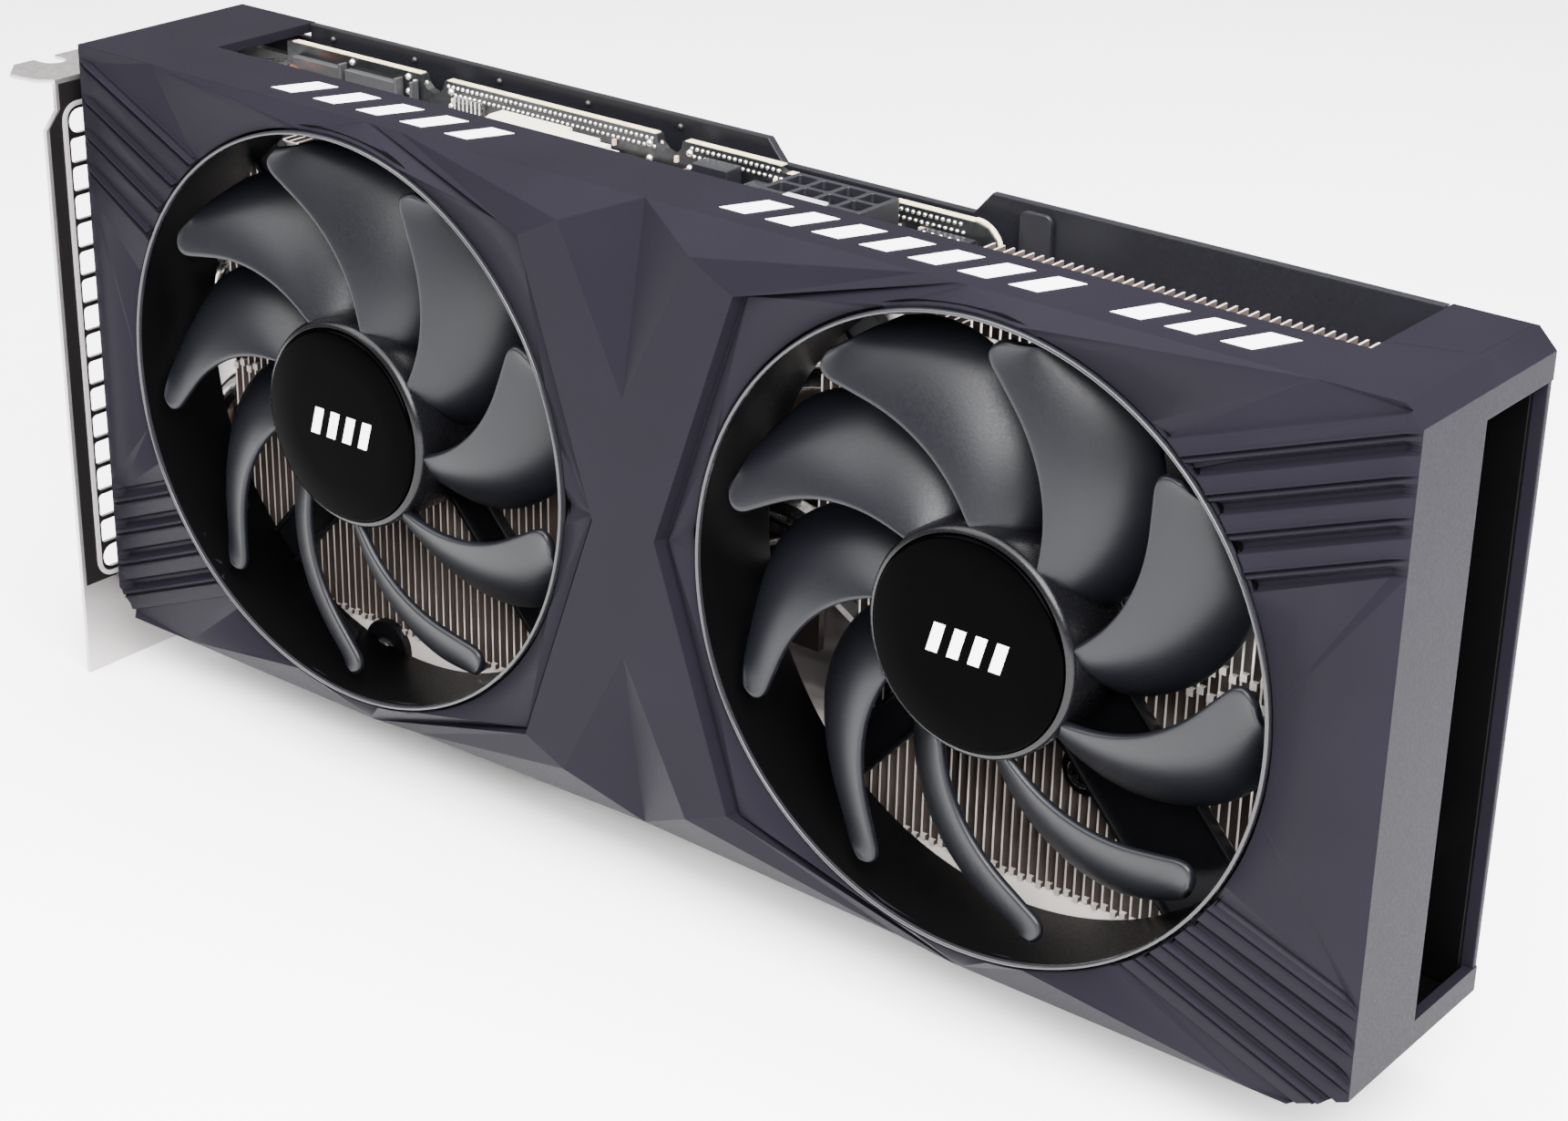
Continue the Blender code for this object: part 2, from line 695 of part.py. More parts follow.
def build_power_parts():
    """Chokes in a column near the bracket and round capacitors past the chip."""
    face = BOARD_Y[0] - GAP
    for k in range(CHOKES):
        z = 14 + CHOKE_PITCH * k
        box(f"choke_{k + 1}", (40, face - 4, z - 4.5), (49, face, z + 4.5), "ferrite")
    for k in range(CAPACITORS):
        can = cylinder(f"capacitor_{k + 1}", 3.1, 0, 4.0, 16, "can")
        can.location = Vector((155, face, 20 + CAPACITOR_PITCH * k)) * MM
        can.rotation_euler = (math.radians(90), 0, 0)


def build_power_socket():
    """An eight-way socket, four cells by two, open to the top."""
    spans = (POWER_X, POWER_Y, POWER_Z)
    socket = box("power_socket", [a for a, _ in spans], [b for _, b in spans], "connector")
    first_x = POWER_X[0] + 2.6
    first_y = POWER_Y[0] + 2.7
    for column in range(4):
        for row in range(2):
            x = first_x + CELL_PITCH * column
            y = first_y + CELL_PITCH * row
            low = (x - CELL_HALF, y - CELL_HALF, CELL_FLOOR_Z)
            high = (x + CELL_HALF, y + CELL_HALF, POWER_Z[1] + 5)
            cut(socket, box(f"cut_cell_{column}_{row}", low, high, None))


def build_fan_header():
    low = (HEADER_X[0], HEADER_FRONT_Y, HEADER_Z[0])
    box("fan_header", low, (HEADER_X[1], BOARD_Y[0] - GAP, HEADER_Z[1]), "connector")


def socket_shell(name, z, height):
    """A display socket: a steel shell on the board, open through the bracket."""
    back = BOARD_Y[0] - GAP
    front = back - SOCKET_WIDTH
    x_out = BRACKET_X[0] - 0.5
    half = height / 2
    shell = box(name, (x_out, front, z - half), (SOCKET_END_X, back, z + half), "steel")
    wall = SOCKET_WALL
    low = (x_out - 5, front + wall, z - half + wall)
    high = (SOCKET_END_X - 2, back - wall, z + half - wall)
    cut(shell, box(f"cut_{name}", low, high, None))


def build_sockets():
    for name, (z, height) in DISPLAY_SOCKETS.items():
        socket_shell(name, z, height)


# --- Bracket, backplate and fasteners ------------------------------------------------------------


def bracket_loops():
    """The bracket's outline, seen from the bracket end, and its holes: Y across, Z up."""
    front, back = BRACKET_Y
    wide, narrow = NECK_Z
    edge = [(front, BRACKET_LOW_Z), (back, BRACKET_LOW_Z), (back, wide), (back - NECK, narrow)]
    edge += [(back - NECK, TAB_Z[1]), (front + NECK, TAB_Z[1])]
    edge += [(front + NECK, narrow), (front, wide)]
    holes = []
    for k in range(VENT_CELLS):
        z = VENT_CELLS_LOW_Z + VENT_PITCH * k
        inset = 2.2 if k in (0, VENT_CELLS - 1) else 0
        across = (VENT_CELLS_Y[0] + inset, VENT_CELLS_Y[1] - inset)
        holes.append(rectangle(*across, z, z + VENT_PITCH - VENT_BAR))
    y_mid = BOARD_Y[0] - GAP - SOCKET_WIDTH / 2
    for z, height in DISPLAY_SOCKETS.values():
        half_z = height / 2 + GAP
        half_y = SOCKET_WIDTH / 2 + GAP
        holes.append(rectangle(y_mid - half_y, y_mid + half_y, z - half_z, z + half_z))
    return [edge, *holes]


def build_bracket():
    """The perforated plate across the card's end, and the tab that is screwed to the case."""
    middle = (BRACKET_X[0] + BRACKET_X[1]) / 2
    bracket = outline("io_bracket", bracket_loops(), (BRACKET_X[1] - BRACKET_X[0]) / 2, "steel")
    bracket.location = Vector((middle, 0, 0)) * MM
    bracket.rotation_euler = (math.radians(90), 0, math.radians(90))
    bracket = solidified_curve(bracket)
    front, back = BRACKET_Y
    outer = BRACKET_X[0] - TAB_LENGTH
    tab = [(BRACKET_X[1], front + NECK), (BRACKET_X[0] - 2, front + 0.6), (outer + 4, front)]
    tab.append((outer, front + 4))
    for y in TAB_NOTCHES_Y:
        tab += tab_notch(outer, y)
    tab += [(outer, back - 4), (outer + 4, back), (BRACKET_X[0] - 2, back - 0.6)]
    tab.append((BRACKET_X[1], back - NECK))
    plate = outline("add_tab", [tab], (TAB_Z[1] - TAB_Z[0]) / 2, None)
    plate.location = Vector((0, 0, (TAB_Z[0] + TAB_Z[1]) / 2)) * MM
    join(bracket, solidified_curve(plate))


def tab_notch(outer, y):
    """The open notch that a case screw goes through."""
    round_end = arc((outer + 4.6, y), TAB_NOTCH_HALF, -90, 90, 5)
    return [(outer, y - TAB_NOTCH_HALF), *round_end, (outer, y + TAB_NOTCH_HALF)]


def back_screw_spots():
    """Where the heatsink's four screws come through the backplate, in X and Z."""
    away = BACK_SCREW_OFFSET
    return [(GPU_X + right, GPU_Z + up) for up in (away, -away) for right in (-away, away)]


def build_backplate():
    """The stiff plate behind the board, stepped along its top, with slots past the board's end."""
    top = TOP_Z
    low = -1.8
    under = TOP_Z - WALL - GAP
    edge = [(6, low + 5), (12, low), (LENGTH - 12, low), (LENGTH - 6, low + 5)]
    edge += [(LENGTH - 6, under), (VENT_END_X - GAP, under), (VENT_END_X - GAP, top), (158, top)]
    edge += [(155, top - 3.4), (120, top - 3.4), (117, top), (VENT_START_X + GAP, top)]
    edge += [(VENT_START_X + GAP, under), (6, under)]
    starts = [178 + BACK_SLOT_PITCH * k for k in range(BACK_SLOTS)]
    slots = [rectangle(x, x + BACK_SLOT_PITCH / 2, 18, 80) for x in starts]
    holes = [arc(spot, BACK_SCREW_HOLE_R, 0, 345, 24) for spot in back_screw_spots()]
    front_plate("backplate", [edge, *slots, *holes], *PLATE_BACK_Y, "backplate")


def screw(name, head_r, length, place_at, rotation):
    """A pan-head screw with its head up its own Z and a shallow round drive recess."""
    drive_r = 0.9
    drive_floor = HEAD_T - 0.6
    profile = [
        (0, drive_floor),
        (drive_r, drive_floor),
        (drive_r, HEAD_T),
        (head_r - 0.5, HEAD_T),
        (head_r, HEAD_T - 0.5),
        (head_r, 0),
        (SHANK_R, 0),
        (SHANK_R, -length),
        (0, -length),
    ]
    obj = turned(name, profile, 12, "steel")
    obj.location = Vector(place_at) * MM
    obj.rotation_euler = rotation


def build_screws():
    """Four screws whose heads lie just inside the backplate's holes, and two on the bracket."""
    under_head = PLATE_BACK_Y[1] - HEAD_T - GAP
    length = under_head - BOARD_Y[1] - GAP
    for k, (x, z) in enumerate(back_screw_spots()):
        turn = (math.radians(-90), 0, 0)
        screw(f"backplate_screw_{k + 1}", BACK_HEAD_R, length, (x, under_head, z), turn)
    sockets_y = BOARD_Y[0] - GAP - SOCKET_WIDTH / 2
    for k, z in enumerate(BRACKET_SCREWS_Z):
        spot = (BRACKET_X[0] - GAP, sockets_y, z)
        screw(f"bracket_screw_{k + 1}", BRACKET_HEAD_R, 0.1, spot, (0, math.radians(-90), 0))


def build_cables():
    """Each fan's lead lies along an arm and runs between the fins and the shroud to the header."""
    right = [(176.4, 12.9, 62.8), (166.3, 12.9, 74), (158.6, 12.9, 82.6), (157.2, 13.2, 87.4)]
    right += [(156.8, 17, 89.7), (156.5, 23.1, 89.5)]
    tube("fan_right_cable", smooth_path(right, 3), CABLE_R, "cable")
    left = [(75.4, 12.9, 56.6), (85.5, 12.9, 67.8), (95.5, 12.9, 78.6), (112, 13.5, 81.6)]
    left += [(134, 15, 81.8), (143, 17, 81.2), (148.6, 18.6, 82.4), (149.6, 20.4, 86)]
    left += [(150.8, 22, 88.2), (152.6, 23.1, 88.4)]
    tube("fan_left_cable", smooth_path(left, 3), CABLE_R, "cable")


def main():
    build_shroud()
    for side in FAN_X:
        axis = fan_axis(side)
        build_rotor(side, axis)
        build_motor(side, axis)
        build_mount(side, axis)
        build_fins(side)
    build_pipes()
    build_cold_plate()
    build_frame()
    build_board()
    build_chips()
    build_power_parts()
    build_power_socket()
    build_fan_header()
    build_sockets()
    build_bracket()
    build_backplate()
    build_screws()
    build_cables()


main()
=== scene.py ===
"""The looks of the two-fan graphics card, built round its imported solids.

Lengths are card millimetres, as in the CAD: X from the shroud's bracket end, Y from its front outer
edges (the fans face -Y) and Z from the line where its lower corners start.
"""

import math
import random

import bmesh
import bpy
from mathutils import Matrix, Vector
from mathutils.geometry import delaunay_2d_cdt

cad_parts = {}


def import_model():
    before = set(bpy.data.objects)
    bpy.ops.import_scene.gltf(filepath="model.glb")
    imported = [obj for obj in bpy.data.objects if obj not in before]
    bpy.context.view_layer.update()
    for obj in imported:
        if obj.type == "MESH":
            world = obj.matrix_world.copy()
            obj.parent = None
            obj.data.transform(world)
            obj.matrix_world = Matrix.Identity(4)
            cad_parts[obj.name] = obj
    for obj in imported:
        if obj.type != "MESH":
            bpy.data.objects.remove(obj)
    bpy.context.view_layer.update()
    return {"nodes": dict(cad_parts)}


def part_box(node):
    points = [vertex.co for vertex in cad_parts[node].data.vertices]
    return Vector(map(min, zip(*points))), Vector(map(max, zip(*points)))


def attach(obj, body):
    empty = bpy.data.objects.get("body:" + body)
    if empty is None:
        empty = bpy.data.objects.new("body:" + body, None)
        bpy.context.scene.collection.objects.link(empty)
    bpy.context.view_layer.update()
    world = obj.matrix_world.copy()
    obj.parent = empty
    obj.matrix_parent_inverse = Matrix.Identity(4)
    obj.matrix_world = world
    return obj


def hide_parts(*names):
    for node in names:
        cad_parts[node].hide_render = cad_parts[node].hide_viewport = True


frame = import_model()

MM = 0.001
SHROUD_LOW, SHROUD_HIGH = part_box("shroud")
# The Y of the shroud's proudest facets and the Z of its lowest ones
PLATE_Y = -5.0
BOTTOM_Z = -4.2
# Card zero in the world: the shroud's low corner, less how far it lies from zero
ZERO = Vector(SHROUD_LOW) - Vector((0, PLATE_Y, BOTTOM_Z)) * MM
LENGTH = (SHROUD_HIGH[0] - SHROUD_LOW[0]) / MM
BACK_Y = (SHROUD_HIGH[1] - SHROUD_LOW[1]) / MM + PLATE_Y
TOP_Z = (SHROUD_HIGH[2] - SHROUD_LOW[2]) / MM + BOTTOM_Z

FANS = {"left": 62.0, "right": 183.0}
FAN_Z = 48.6
MIDDLE_X = (FANS["left"] + FANS["right"]) / 2 - 0.1
# Radii of the fans' bore, of the hole in the shroud's panels, and of the blades and their hub
BORE_R = 46.9
PANEL_R = 48.0
TIP_R = 44.5
HUB_R = 17.2
BLADES = 9
BLADE_PHASE = {"left": -7, "right": 11}

rng = random.Random(7)


def world(x, y, z):
    """Card millimetres to world metres."""
    return ZERO + Vector((x, y, z)) * MM


# --- Materials ---


NOISE_LOW = 0.3
NOISE_HIGH = 0.7


def node(tree, kind, **inputs):
    """A shader node with some of its inputs set."""
    made = tree.nodes.new(kind)
    for key, value in inputs.items():
        made.inputs[key.replace("_", " ")].default_value = value
    return made


def noise(tree, scale):
    """Broad noise in object space, so the same grain everywhere on a piece."""
    where = tree.nodes.new("ShaderNodeTexCoord")
    grain = node(tree, "ShaderNodeTexNoise", Scale=scale, Detail=3.0, Roughness=0.5)
    tree.links.new(where.outputs["Object"], grain.inputs["Vector"])
    return grain.outputs["Fac"]


def between(tree, factor, low, high):
    """Maps the usual range of a noise value to the range low to high."""
    ends = {"From_Min": NOISE_LOW, "From_Max": NOISE_HIGH, "To_Min": low, "To_Max": high}
    spread = node(tree, "ShaderNodeMapRange", **ends)
    tree.links.new(factor, spread.inputs["Value"])
    return spread.outputs["Result"]


def blend_colours(tree, factor, first, second):
    ramp = tree.nodes.new("ShaderNodeValToRGB")
    for stop, place, colour in zip(ramp.color_ramp.elements, (NOISE_LOW, NOISE_HIGH), (first, second)):
        stop.position = place
        stop.color = (*colour, 1)
    tree.links.new(factor, ramp.inputs["Fac"])
    return ramp.outputs["Color"]


def surface(name, colour, roughness, metallic=0.0, mottle=0.12, mottle_scale=60.0,
            grain_scale=2500.0, grain=0.05, stretch=(1, 1, 1), specular=0.5, edge=0.0):
    """A Principled material whose colour, roughness and bump all come from noise."""
    made = bpy.data.materials.new(name)
    made.use_nodes = True
    tree = made.node_tree
    shader = tree.nodes["Principled BSDF"]
    shader.inputs["Metallic"].default_value = metallic
    shader.inputs["Specular IOR Level"].default_value = specular
    dark = tuple(c * (1 - mottle) for c in colour)
    light = tuple(min(c * (1 + mottle), 1) for c in colour)
    broad = noise(tree, mottle_scale)
    tree.links.new(blend_colours(tree, broad, dark, light), shader.inputs["Base Color"])
    where = tree.nodes.new("ShaderNodeTexCoord")
    mapping = node(tree, "ShaderNodeMapping", Scale=stretch)
    fine = node(tree, "ShaderNodeTexNoise", Scale=grain_scale, Detail=2.0)
    tree.links.new(where.outputs["Object"], mapping.inputs["Vector"])
    tree.links.new(mapping.outputs["Vector"], fine.inputs["Vector"])
    rough = between(tree, fine.outputs["Fac"], roughness[0], roughness[1])
    tree.links.new(rough, shader.inputs["Roughness"])
    bump = node(tree, "ShaderNodeBump", Strength=grain * 4, Distance=0.00003)
    tree.links.new(fine.outputs["Fac"], bump.inputs["Height"])
    tree.links.new(bump.outputs["Normal"], shader.inputs["Normal"])
    if edge:
        rounding = node(tree, "ShaderNodeBevel", Radius=edge * MM)
        tree.links.new(rounding.outputs["Normal"], bump.inputs["Normal"])
    return made


LOOKS = {
    "shroud": surface("shroud_satin", (0.0055, 0.0049, 0.0073), (0.38, 0.47), mottle=0.06,
                      grain=0.10, specular=0.024, edge=0.2),
    # Near-black: the fans' bore walls and grooves, and painted shade on the screws' cross recesses and
    # inside the far end
    "bore_black": surface("bore_black", (0.0009, 0.0009, 0.001), (0.35, 0.45), mottle=0.06,
                          specular=0.04),
    "ring_lip": surface("ring_lip", (0.010, 0.010, 0.012), (0.12, 0.20), mottle=0.05, grain=0.02,
                        specular=0.34),
    "blade": surface("blade_matte", (0.0022, 0.0024, 0.0036), (0.34, 0.42), mottle=0.08, grain=0.10,
                     specular=0.17),
    "hub_rim": surface("hub_rim", (0.002, 0.002, 0.0025), (0.20, 0.30), mottle=0.08, grain=0.02,
                       specular=0.16),
    "cap": surface("cap_gloss", (0.0002, 0.0002, 0.00025), (0.05, 0.08), mottle=0.3, grain=0.0,
                   specular=0.006),
    "mark": surface("printed_mark", (0.82, 0.82, 0.84), (0.35, 0.45), mottle=0.02, grain=0.02),
    "strut": surface("strut_black", (0.0015, 0.0015, 0.002), (0.36, 0.48), mottle=0.1, specular=0.15),
    "fin": surface("fin_edge", (0.80, 0.74, 0.70), (0.30, 0.45), 0.7, mottle=0.15, mottle_scale=90,
                   grain_scale=900, grain=0.03, stretch=(1, 1, 0.15)),
    # The fins' broad faces: the fin metal darkened as painted shade between the close-set fins
    "fin_side_painted_shade": surface("fin_side_painted_shade", (0.085, 0.062, 0.052), (0.35, 0.50), 0.5, mottle=0.25,
                        mottle_scale=120, grain=0.03, specular=0.2),
    # The folded strips: a paler, less metallic copy of the fin metal, as painted light where they sit in
    # shade
    "fin_strip_painted_light": surface("fin_strip_painted_light", (0.66, 0.60, 0.57), (0.35, 0.50), 0.25, mottle=0.10,
                         mottle_scale=70, grain=0.03),
    "plate_dark": surface("cold_plate_dull", (0.030, 0.022, 0.020), (0.35, 0.50), 0.6, mottle=0.3,
                          grain=0.05),
    "frame": surface("frame_metal", (0.62, 0.57, 0.55), (0.28, 0.42), 1.0, mottle=0.10,
                     grain_scale=700, grain=0.06, stretch=(0.2, 1, 1)),
    "copper": surface("copper", (0.42, 0.17, 0.10), (0.30, 0.45), 1.0, mottle=0.25, grain=0.08),
    "plated": surface("plated_pipe", (0.70, 0.67, 0.66), (0.14, 0.26), 1.0, mottle=0.10, grain=0.03),
    "nickel": surface("nickel_plate", (0.46, 0.435, 0.43), (0.38, 0.46), 1.0, mottle=0.04,
                      grain_scale=1400, grain=0.01),
    # Near-black look for the bracket's inner face: painted shade
    "bracket_shade": surface("bracket_shade", (0.004, 0.0036, 0.0038), (0.4, 0.5), mottle=0.1, grain=0.01,
                             specular=0.06),
    "rim_pale": surface("rim_pale", (0.25, 0.23, 0.235), (0.30, 0.40), 0.2, mottle=0.05, grain=0.01),
    "screw": surface("screw_steel", (0.60, 0.58, 0.56), (0.16, 0.30), 1.0, mottle=0.15, grain=0.06),
    "screw_black": surface("screw_black", (0.03, 0.03, 0.032), (0.25, 0.4), 0.6, mottle=0.15),
    "board": surface("solder_mask", (0.003, 0.0034, 0.004), (0.30, 0.42), mottle=0.35,
                     mottle_scale=450, grain_scale=1200, grain=0.15),
    "board_edge": surface("laminate_edge", (0.50, 0.42, 0.27), (0.55, 0.7), mottle=0.2,
                          mottle_scale=900),
    "gold": surface("gold_plate", (0.86, 0.62, 0.27), (0.18, 0.3), 1.0, mottle=0.1),
    "solder": surface("solder", (0.72, 0.70, 0.68), (0.2, 0.38), 1.0, mottle=0.15),
    "chip": surface("chip_package", (0.018, 0.018, 0.020), (0.45, 0.6), mottle=0.15, grain=0.12),
    "silicon": surface("silicon", (0.10, 0.11, 0.14), (0.06, 0.12), 0.4, mottle=0.2, grain=0.0),
    "ferrite": surface("ferrite", (0.06, 0.06, 0.065), (0.55, 0.7), mottle=0.2, grain=0.3),
    "can": surface("can_aluminium", (0.76, 0.76, 0.78), (0.25, 0.35), 1.0, mottle=0.06),
    "housing": surface("connector_black", (0.005, 0.005, 0.007), (0.35, 0.5), mottle=0.12, specular=0.3),
    "housing_grey": surface("latch_grey", (0.30, 0.30, 0.32), (0.4, 0.55), mottle=0.1),
    "ceramic": surface("ceramic_part", (0.42, 0.33, 0.24), (0.4, 0.5), mottle=0.25),
    "pale_pad": surface("pale_pad", (0.52, 0.48, 0.40), (0.5, 0.65), mottle=0.08, grain=0.2),
    "backplate": surface("backplate_coat", (0.0045, 0.0045, 0.006), (0.32, 0.44), mottle=0.12,
                         grain_scale=1800, grain=0.10, specular=0.22),
    "magnet": surface("magnet", (0.045, 0.045, 0.05), (0.5, 0.65), 0.2, mottle=0.15),
    "bronze": surface("bearing_bronze", (0.45, 0.30, 0.14), (0.35, 0.5), 1.0, mottle=0.2),
    "wire_black": surface("wire_black", (0.012, 0.012, 0.013), (0.35, 0.5), mottle=0.15),
    "wire_blue": surface("wire_blue", (0.02, 0.16, 0.42), (0.35, 0.5), mottle=0.12),
    "wire_yellow": surface("wire_yellow", (0.75, 0.52, 0.03), (0.35, 0.5), mottle=0.12),
    "floor": surface("pale_floor", (0.96, 0.96, 0.965), (0.55, 0.7), mottle=0.01, mottle_scale=4,
                     grain_scale=60, grain=0.01, specular=0.2),
}

# --- Piece helpers ---


def linked(name, data):
    """A new object in the scene."""
    obj = bpy.data.objects.new(name, data)
    bpy.context.scene.collection.objects.link(obj)
    return obj


def mesh_from(name, shape):
    """A mesh from a bmesh, which is freed."""
    mesh = bpy.data.meshes.new(name)
    shape.to_mesh(mesh)
    shape.free()
    return mesh


def piece(name, shape, looks, slot, body="card", stands_for=None):
    """A visible piece from a bmesh: it rides on a body and may stand
    for a CAD node. Its slot argument is not used."""
    data = mesh_from(name, shape)
    obj = linked(name, data)
    for look in looks if isinstance(looks, list) else [looks]:
        data.materials.append(LOOKS[look])
    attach(obj, body)
    if stands_for:
        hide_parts(stands_for)
    return obj


def smooth(obj, angle=35):
    obj.data.shade_smooth()
    obj.data.set_sharp_from_angle(angle=math.radians(angle))


def bevel(obj, width):
    """Rounds the sharp edges by a width in millimetres."""
    made = obj.modifiers.new("edges", "BEVEL")
    made.width = width * MM
    made.segments = 2
    made.limit_method = "ANGLE"
    made.angle_limit = math.radians(30)
    made.harden_normals = False


def thicken(obj, thickness, offset=0):
    """Gives a surface a thickness in millimetres; offset -1 puts it all behind the surface."""
    made = obj.modifiers.new("thickness", "SOLIDIFY")
    made.thickness = thickness * MM
    made.offset = offset


def cleaned_piece(name, shape, near, matrix, look, sharp, **where):
    """A smooth piece from a bmesh, with points nearer than near, in metres, merged."""
    bmesh.ops.remove_doubles(shape, verts=shape.verts, dist=near)
    bmesh.ops.recalc_face_normals(shape, faces=shape.faces)
    bmesh.ops.transform(shape, matrix=matrix, verts=shape.verts)
    obj = piece(name, shape, look, **where)
    smooth(obj, sharp)
    return obj


def box_into(shape, low, high, material_index=0):
    """A card-millimetre box added to a bmesh that holds world metres."""
    low = world(*low)
    high = world(*high)
    made = bmesh.ops.create_cube(shape, size=1)["verts"]
    bmesh.ops.scale(shape, vec=high - low, verts=made)
    bmesh.ops.translate(shape, vec=(low + high) / 2, verts=made)
    if material_index:
        for face in {f for v in made for f in v.link_faces}:
            face.material_index = material_index


def boxes(name, spans, look, bevel_width=0.15, **where):
    """Several boxes as one piece; a span is (low, high) or (low, high, material index)."""
    shape = bmesh.new()
    for span in spans:
        box_into(shape, *span)
    obj = piece(name, shape, look, **where)
    if bevel_width:
        bevel(obj, bevel_width)
    return obj


def facing_front(y, x=0, z=0):
    """Puts local points (X right, Y up, Z out of the front) at a card point."""
    return Matrix.Translation(world(x, y, z)) @ Matrix.Rotation(math.radians(90), 4, "X")


def fan_matrix(side):
    """Facing the front at a fan's axis."""
    return facing_front(0, FANS[side], FAN_Z)


def facing_end(x):
    """A plate drawn in Y and Z, lying across X."""
    turn = Matrix(((0, 0, 1, 0), (1, 0, 0, 0), (0, 1, 0, 0), (0, 0, 0, 1)))
    return Matrix.Translation(world(x, 0, 0)) @ turn


def lying(z):
    """A plate drawn in X and Y, lying across Z."""
    return Matrix.Translation(world(0, 0, z))


def lathe(name, profile, steps, look, matrix, sharp=35, **where):
    """A profile of (radius, height) in millimetres, turned about Z and then placed by a matrix."""
    shape = bmesh.new()
    loops = []
    for k in range(steps):
        angle = 2 * math.pi * k / steps
        spin = (math.cos(angle), math.sin(angle))
        loops.append([shape.verts.new((r * spin[0] * MM, r * spin[1] * MM, h * MM)) for r, h in profile])
    for k in range(steps):
        here = loops[k]
        there = loops[(k + 1) % steps]
        for i in range(len(profile) - 1):
            shape.faces.new([here[i], there[i], there[i + 1], here[i + 1]])
    cleaned_piece(name, shape, 1e-6, matrix, look, sharp, **where)


def slant_bar(shape, low, high, lean, height):
    """A flat slanting bar in a bmesh, its foot at low and its head leaning to the right by lean."""
    corners = [(low[0], low[1]), (high[0] + 0.6, low[1]), (high[0] + 0.6 + lean, high[1]),
               (low[0] + lean, high[1])]
    shape.faces.new([shape.verts.new((x, y, height)) for x, y in corners])


def arc(centre, radius, start, end, count):
    """Points on a circle from one angle to another, in degrees."""
    angles = [math.radians(start + (end - start) * i / (count - 1)) for i in range(count)]
    return [(centre[0] + radius * math.cos(a), centre[1] + radius * math.sin(a)) for a in angles]


def rounded(x_low, x_high, y_low, y_high, radius, count=5):
    """A rectangle with round corners, counter-clockwise."""
    corners = [(x_high - radius, y_low + radius, -90), (x_high - radius, y_high - radius, 0),
               (x_low + radius, y_high - radius, 90), (x_low + radius, y_low + radius, 180)]
    points = []
    for x, y, start in corners:
        points += arc((x, y), radius, start, start + 90, count)
    return points


def curve_shape(name, curve, loops, closed):
    """A bmesh of a curve once it runs through some lists of points."""
    for loop in loops:
        spline = curve.splines.new("POLY")
        spline.points.add(len(loop) - 1)
        for point, place in zip(spline.points, loop):
            point.co = (*place, 1)
        spline.use_cyclic_u = closed
    line = linked(name + "_curve", curve)
    bpy.context.view_layer.update()
    mesh = bpy.data.meshes.new_from_object(line.evaluated_get(bpy.context.evaluated_depsgraph_get()))
    bpy.data.objects.remove(line)
    shape = bmesh.new()
    shape.from_mesh(mesh)
    bpy.data.meshes.remove(mesh)
    return shape


def sheet(name, loops, thickness, edge, look, matrix, **where):
    """A flat plate from outlines and holes, with small round edges, placed by a matrix."""
    curve = bpy.data.curves.new(name, "CURVE")
    curve.dimensions = "2D"
    curve.fill_mode = "BOTH"
    curve.extrude = (thickness / 2 - edge) * MM
    curve.bevel_depth = edge * MM
    curve.bevel_resolution = 1
    curve.offset = -edge * MM
    flat = [[(x * MM, y * MM, 0) for x, y in loop] for loop in loops]
    obj = cleaned_piece(name, curve_shape(name, curve, flat, True), 2e-6, matrix, look, 40, **where)
    even = obj.modifiers.new("normals", "WEIGHTED_NORMAL")
    even.keep_sharp = True


# --- Shroud ---

PANEL_Y = -3.3
RING_Y = -3.9
CHAMFER = 2.8
LEFT_X = 0.0
RIGHT_X = LENGTH
# Where the vents in the walls start behind the front, and where along the card or up it they lie
LEFT_VENT_Y = 5.0
LONG_VENT_Y = 14.0
RIGHT_VENT_Y = 17.5
LEFT_VENT_Z = (4.5, 90.0)
LONG_VENT_X = (18, 230)
RIGHT_VENT_Z = (4.0, 91.6)
# Where the creases from the rings end on the end edges, above and below the fans' middle
RIB_TOP_Z = 76.2
RIB_LOW_Z = {"left": 21.0, "right": 15.0}
RIB_DEPTH = 1.4
RIB_TAPER = 2.6


def mirrored(points):
    """The same points on the other side of the shroud's middle."""
    return [(2 * MIDDLE_X - x, z, y) for x, z, y in points]


TIP_TOP = (MIDDLE_X, 69.1, PLATE_Y)
TIP_LOW = (MIDDLE_X, 28.1, PLATE_Y)
EDGE_TOP = (MIDDLE_X, TOP_Z, 0.0)
EDGE_LOW = (MIDDLE_X, -2.2, 0.0)
# The right half of the X, going down its right side: V corner, edge crease, panel crease, waist
X_RIGHT = {
    "v_top": (134.7, 93.6, PLATE_Y),
    "crease_top": (171.0, TOP_Z, 0.0),
    "panel_edge_top": (177.0, TOP_Z, 0.0),
    "panel_top": (142.6, 89.6, PLATE_Y),
    "waist": (128.4, 48.6, PLATE_Y),
    "panel_low": (142.6, 8.2, PLATE_Y),
    "panel_edge_low": (181.0, BOTTOM_Z, 0.0),
    "crease_low": (171.0, -3.4, 0.0),
    "v_low": (134.7, 4.8, PLATE_Y),
}


def polyline(points, closed=False):
    """The segments from each point to the next."""
    pairs = list(zip(points, points[1:]))
    if closed:
        pairs.append((points[-1], points[0]))
    return pairs


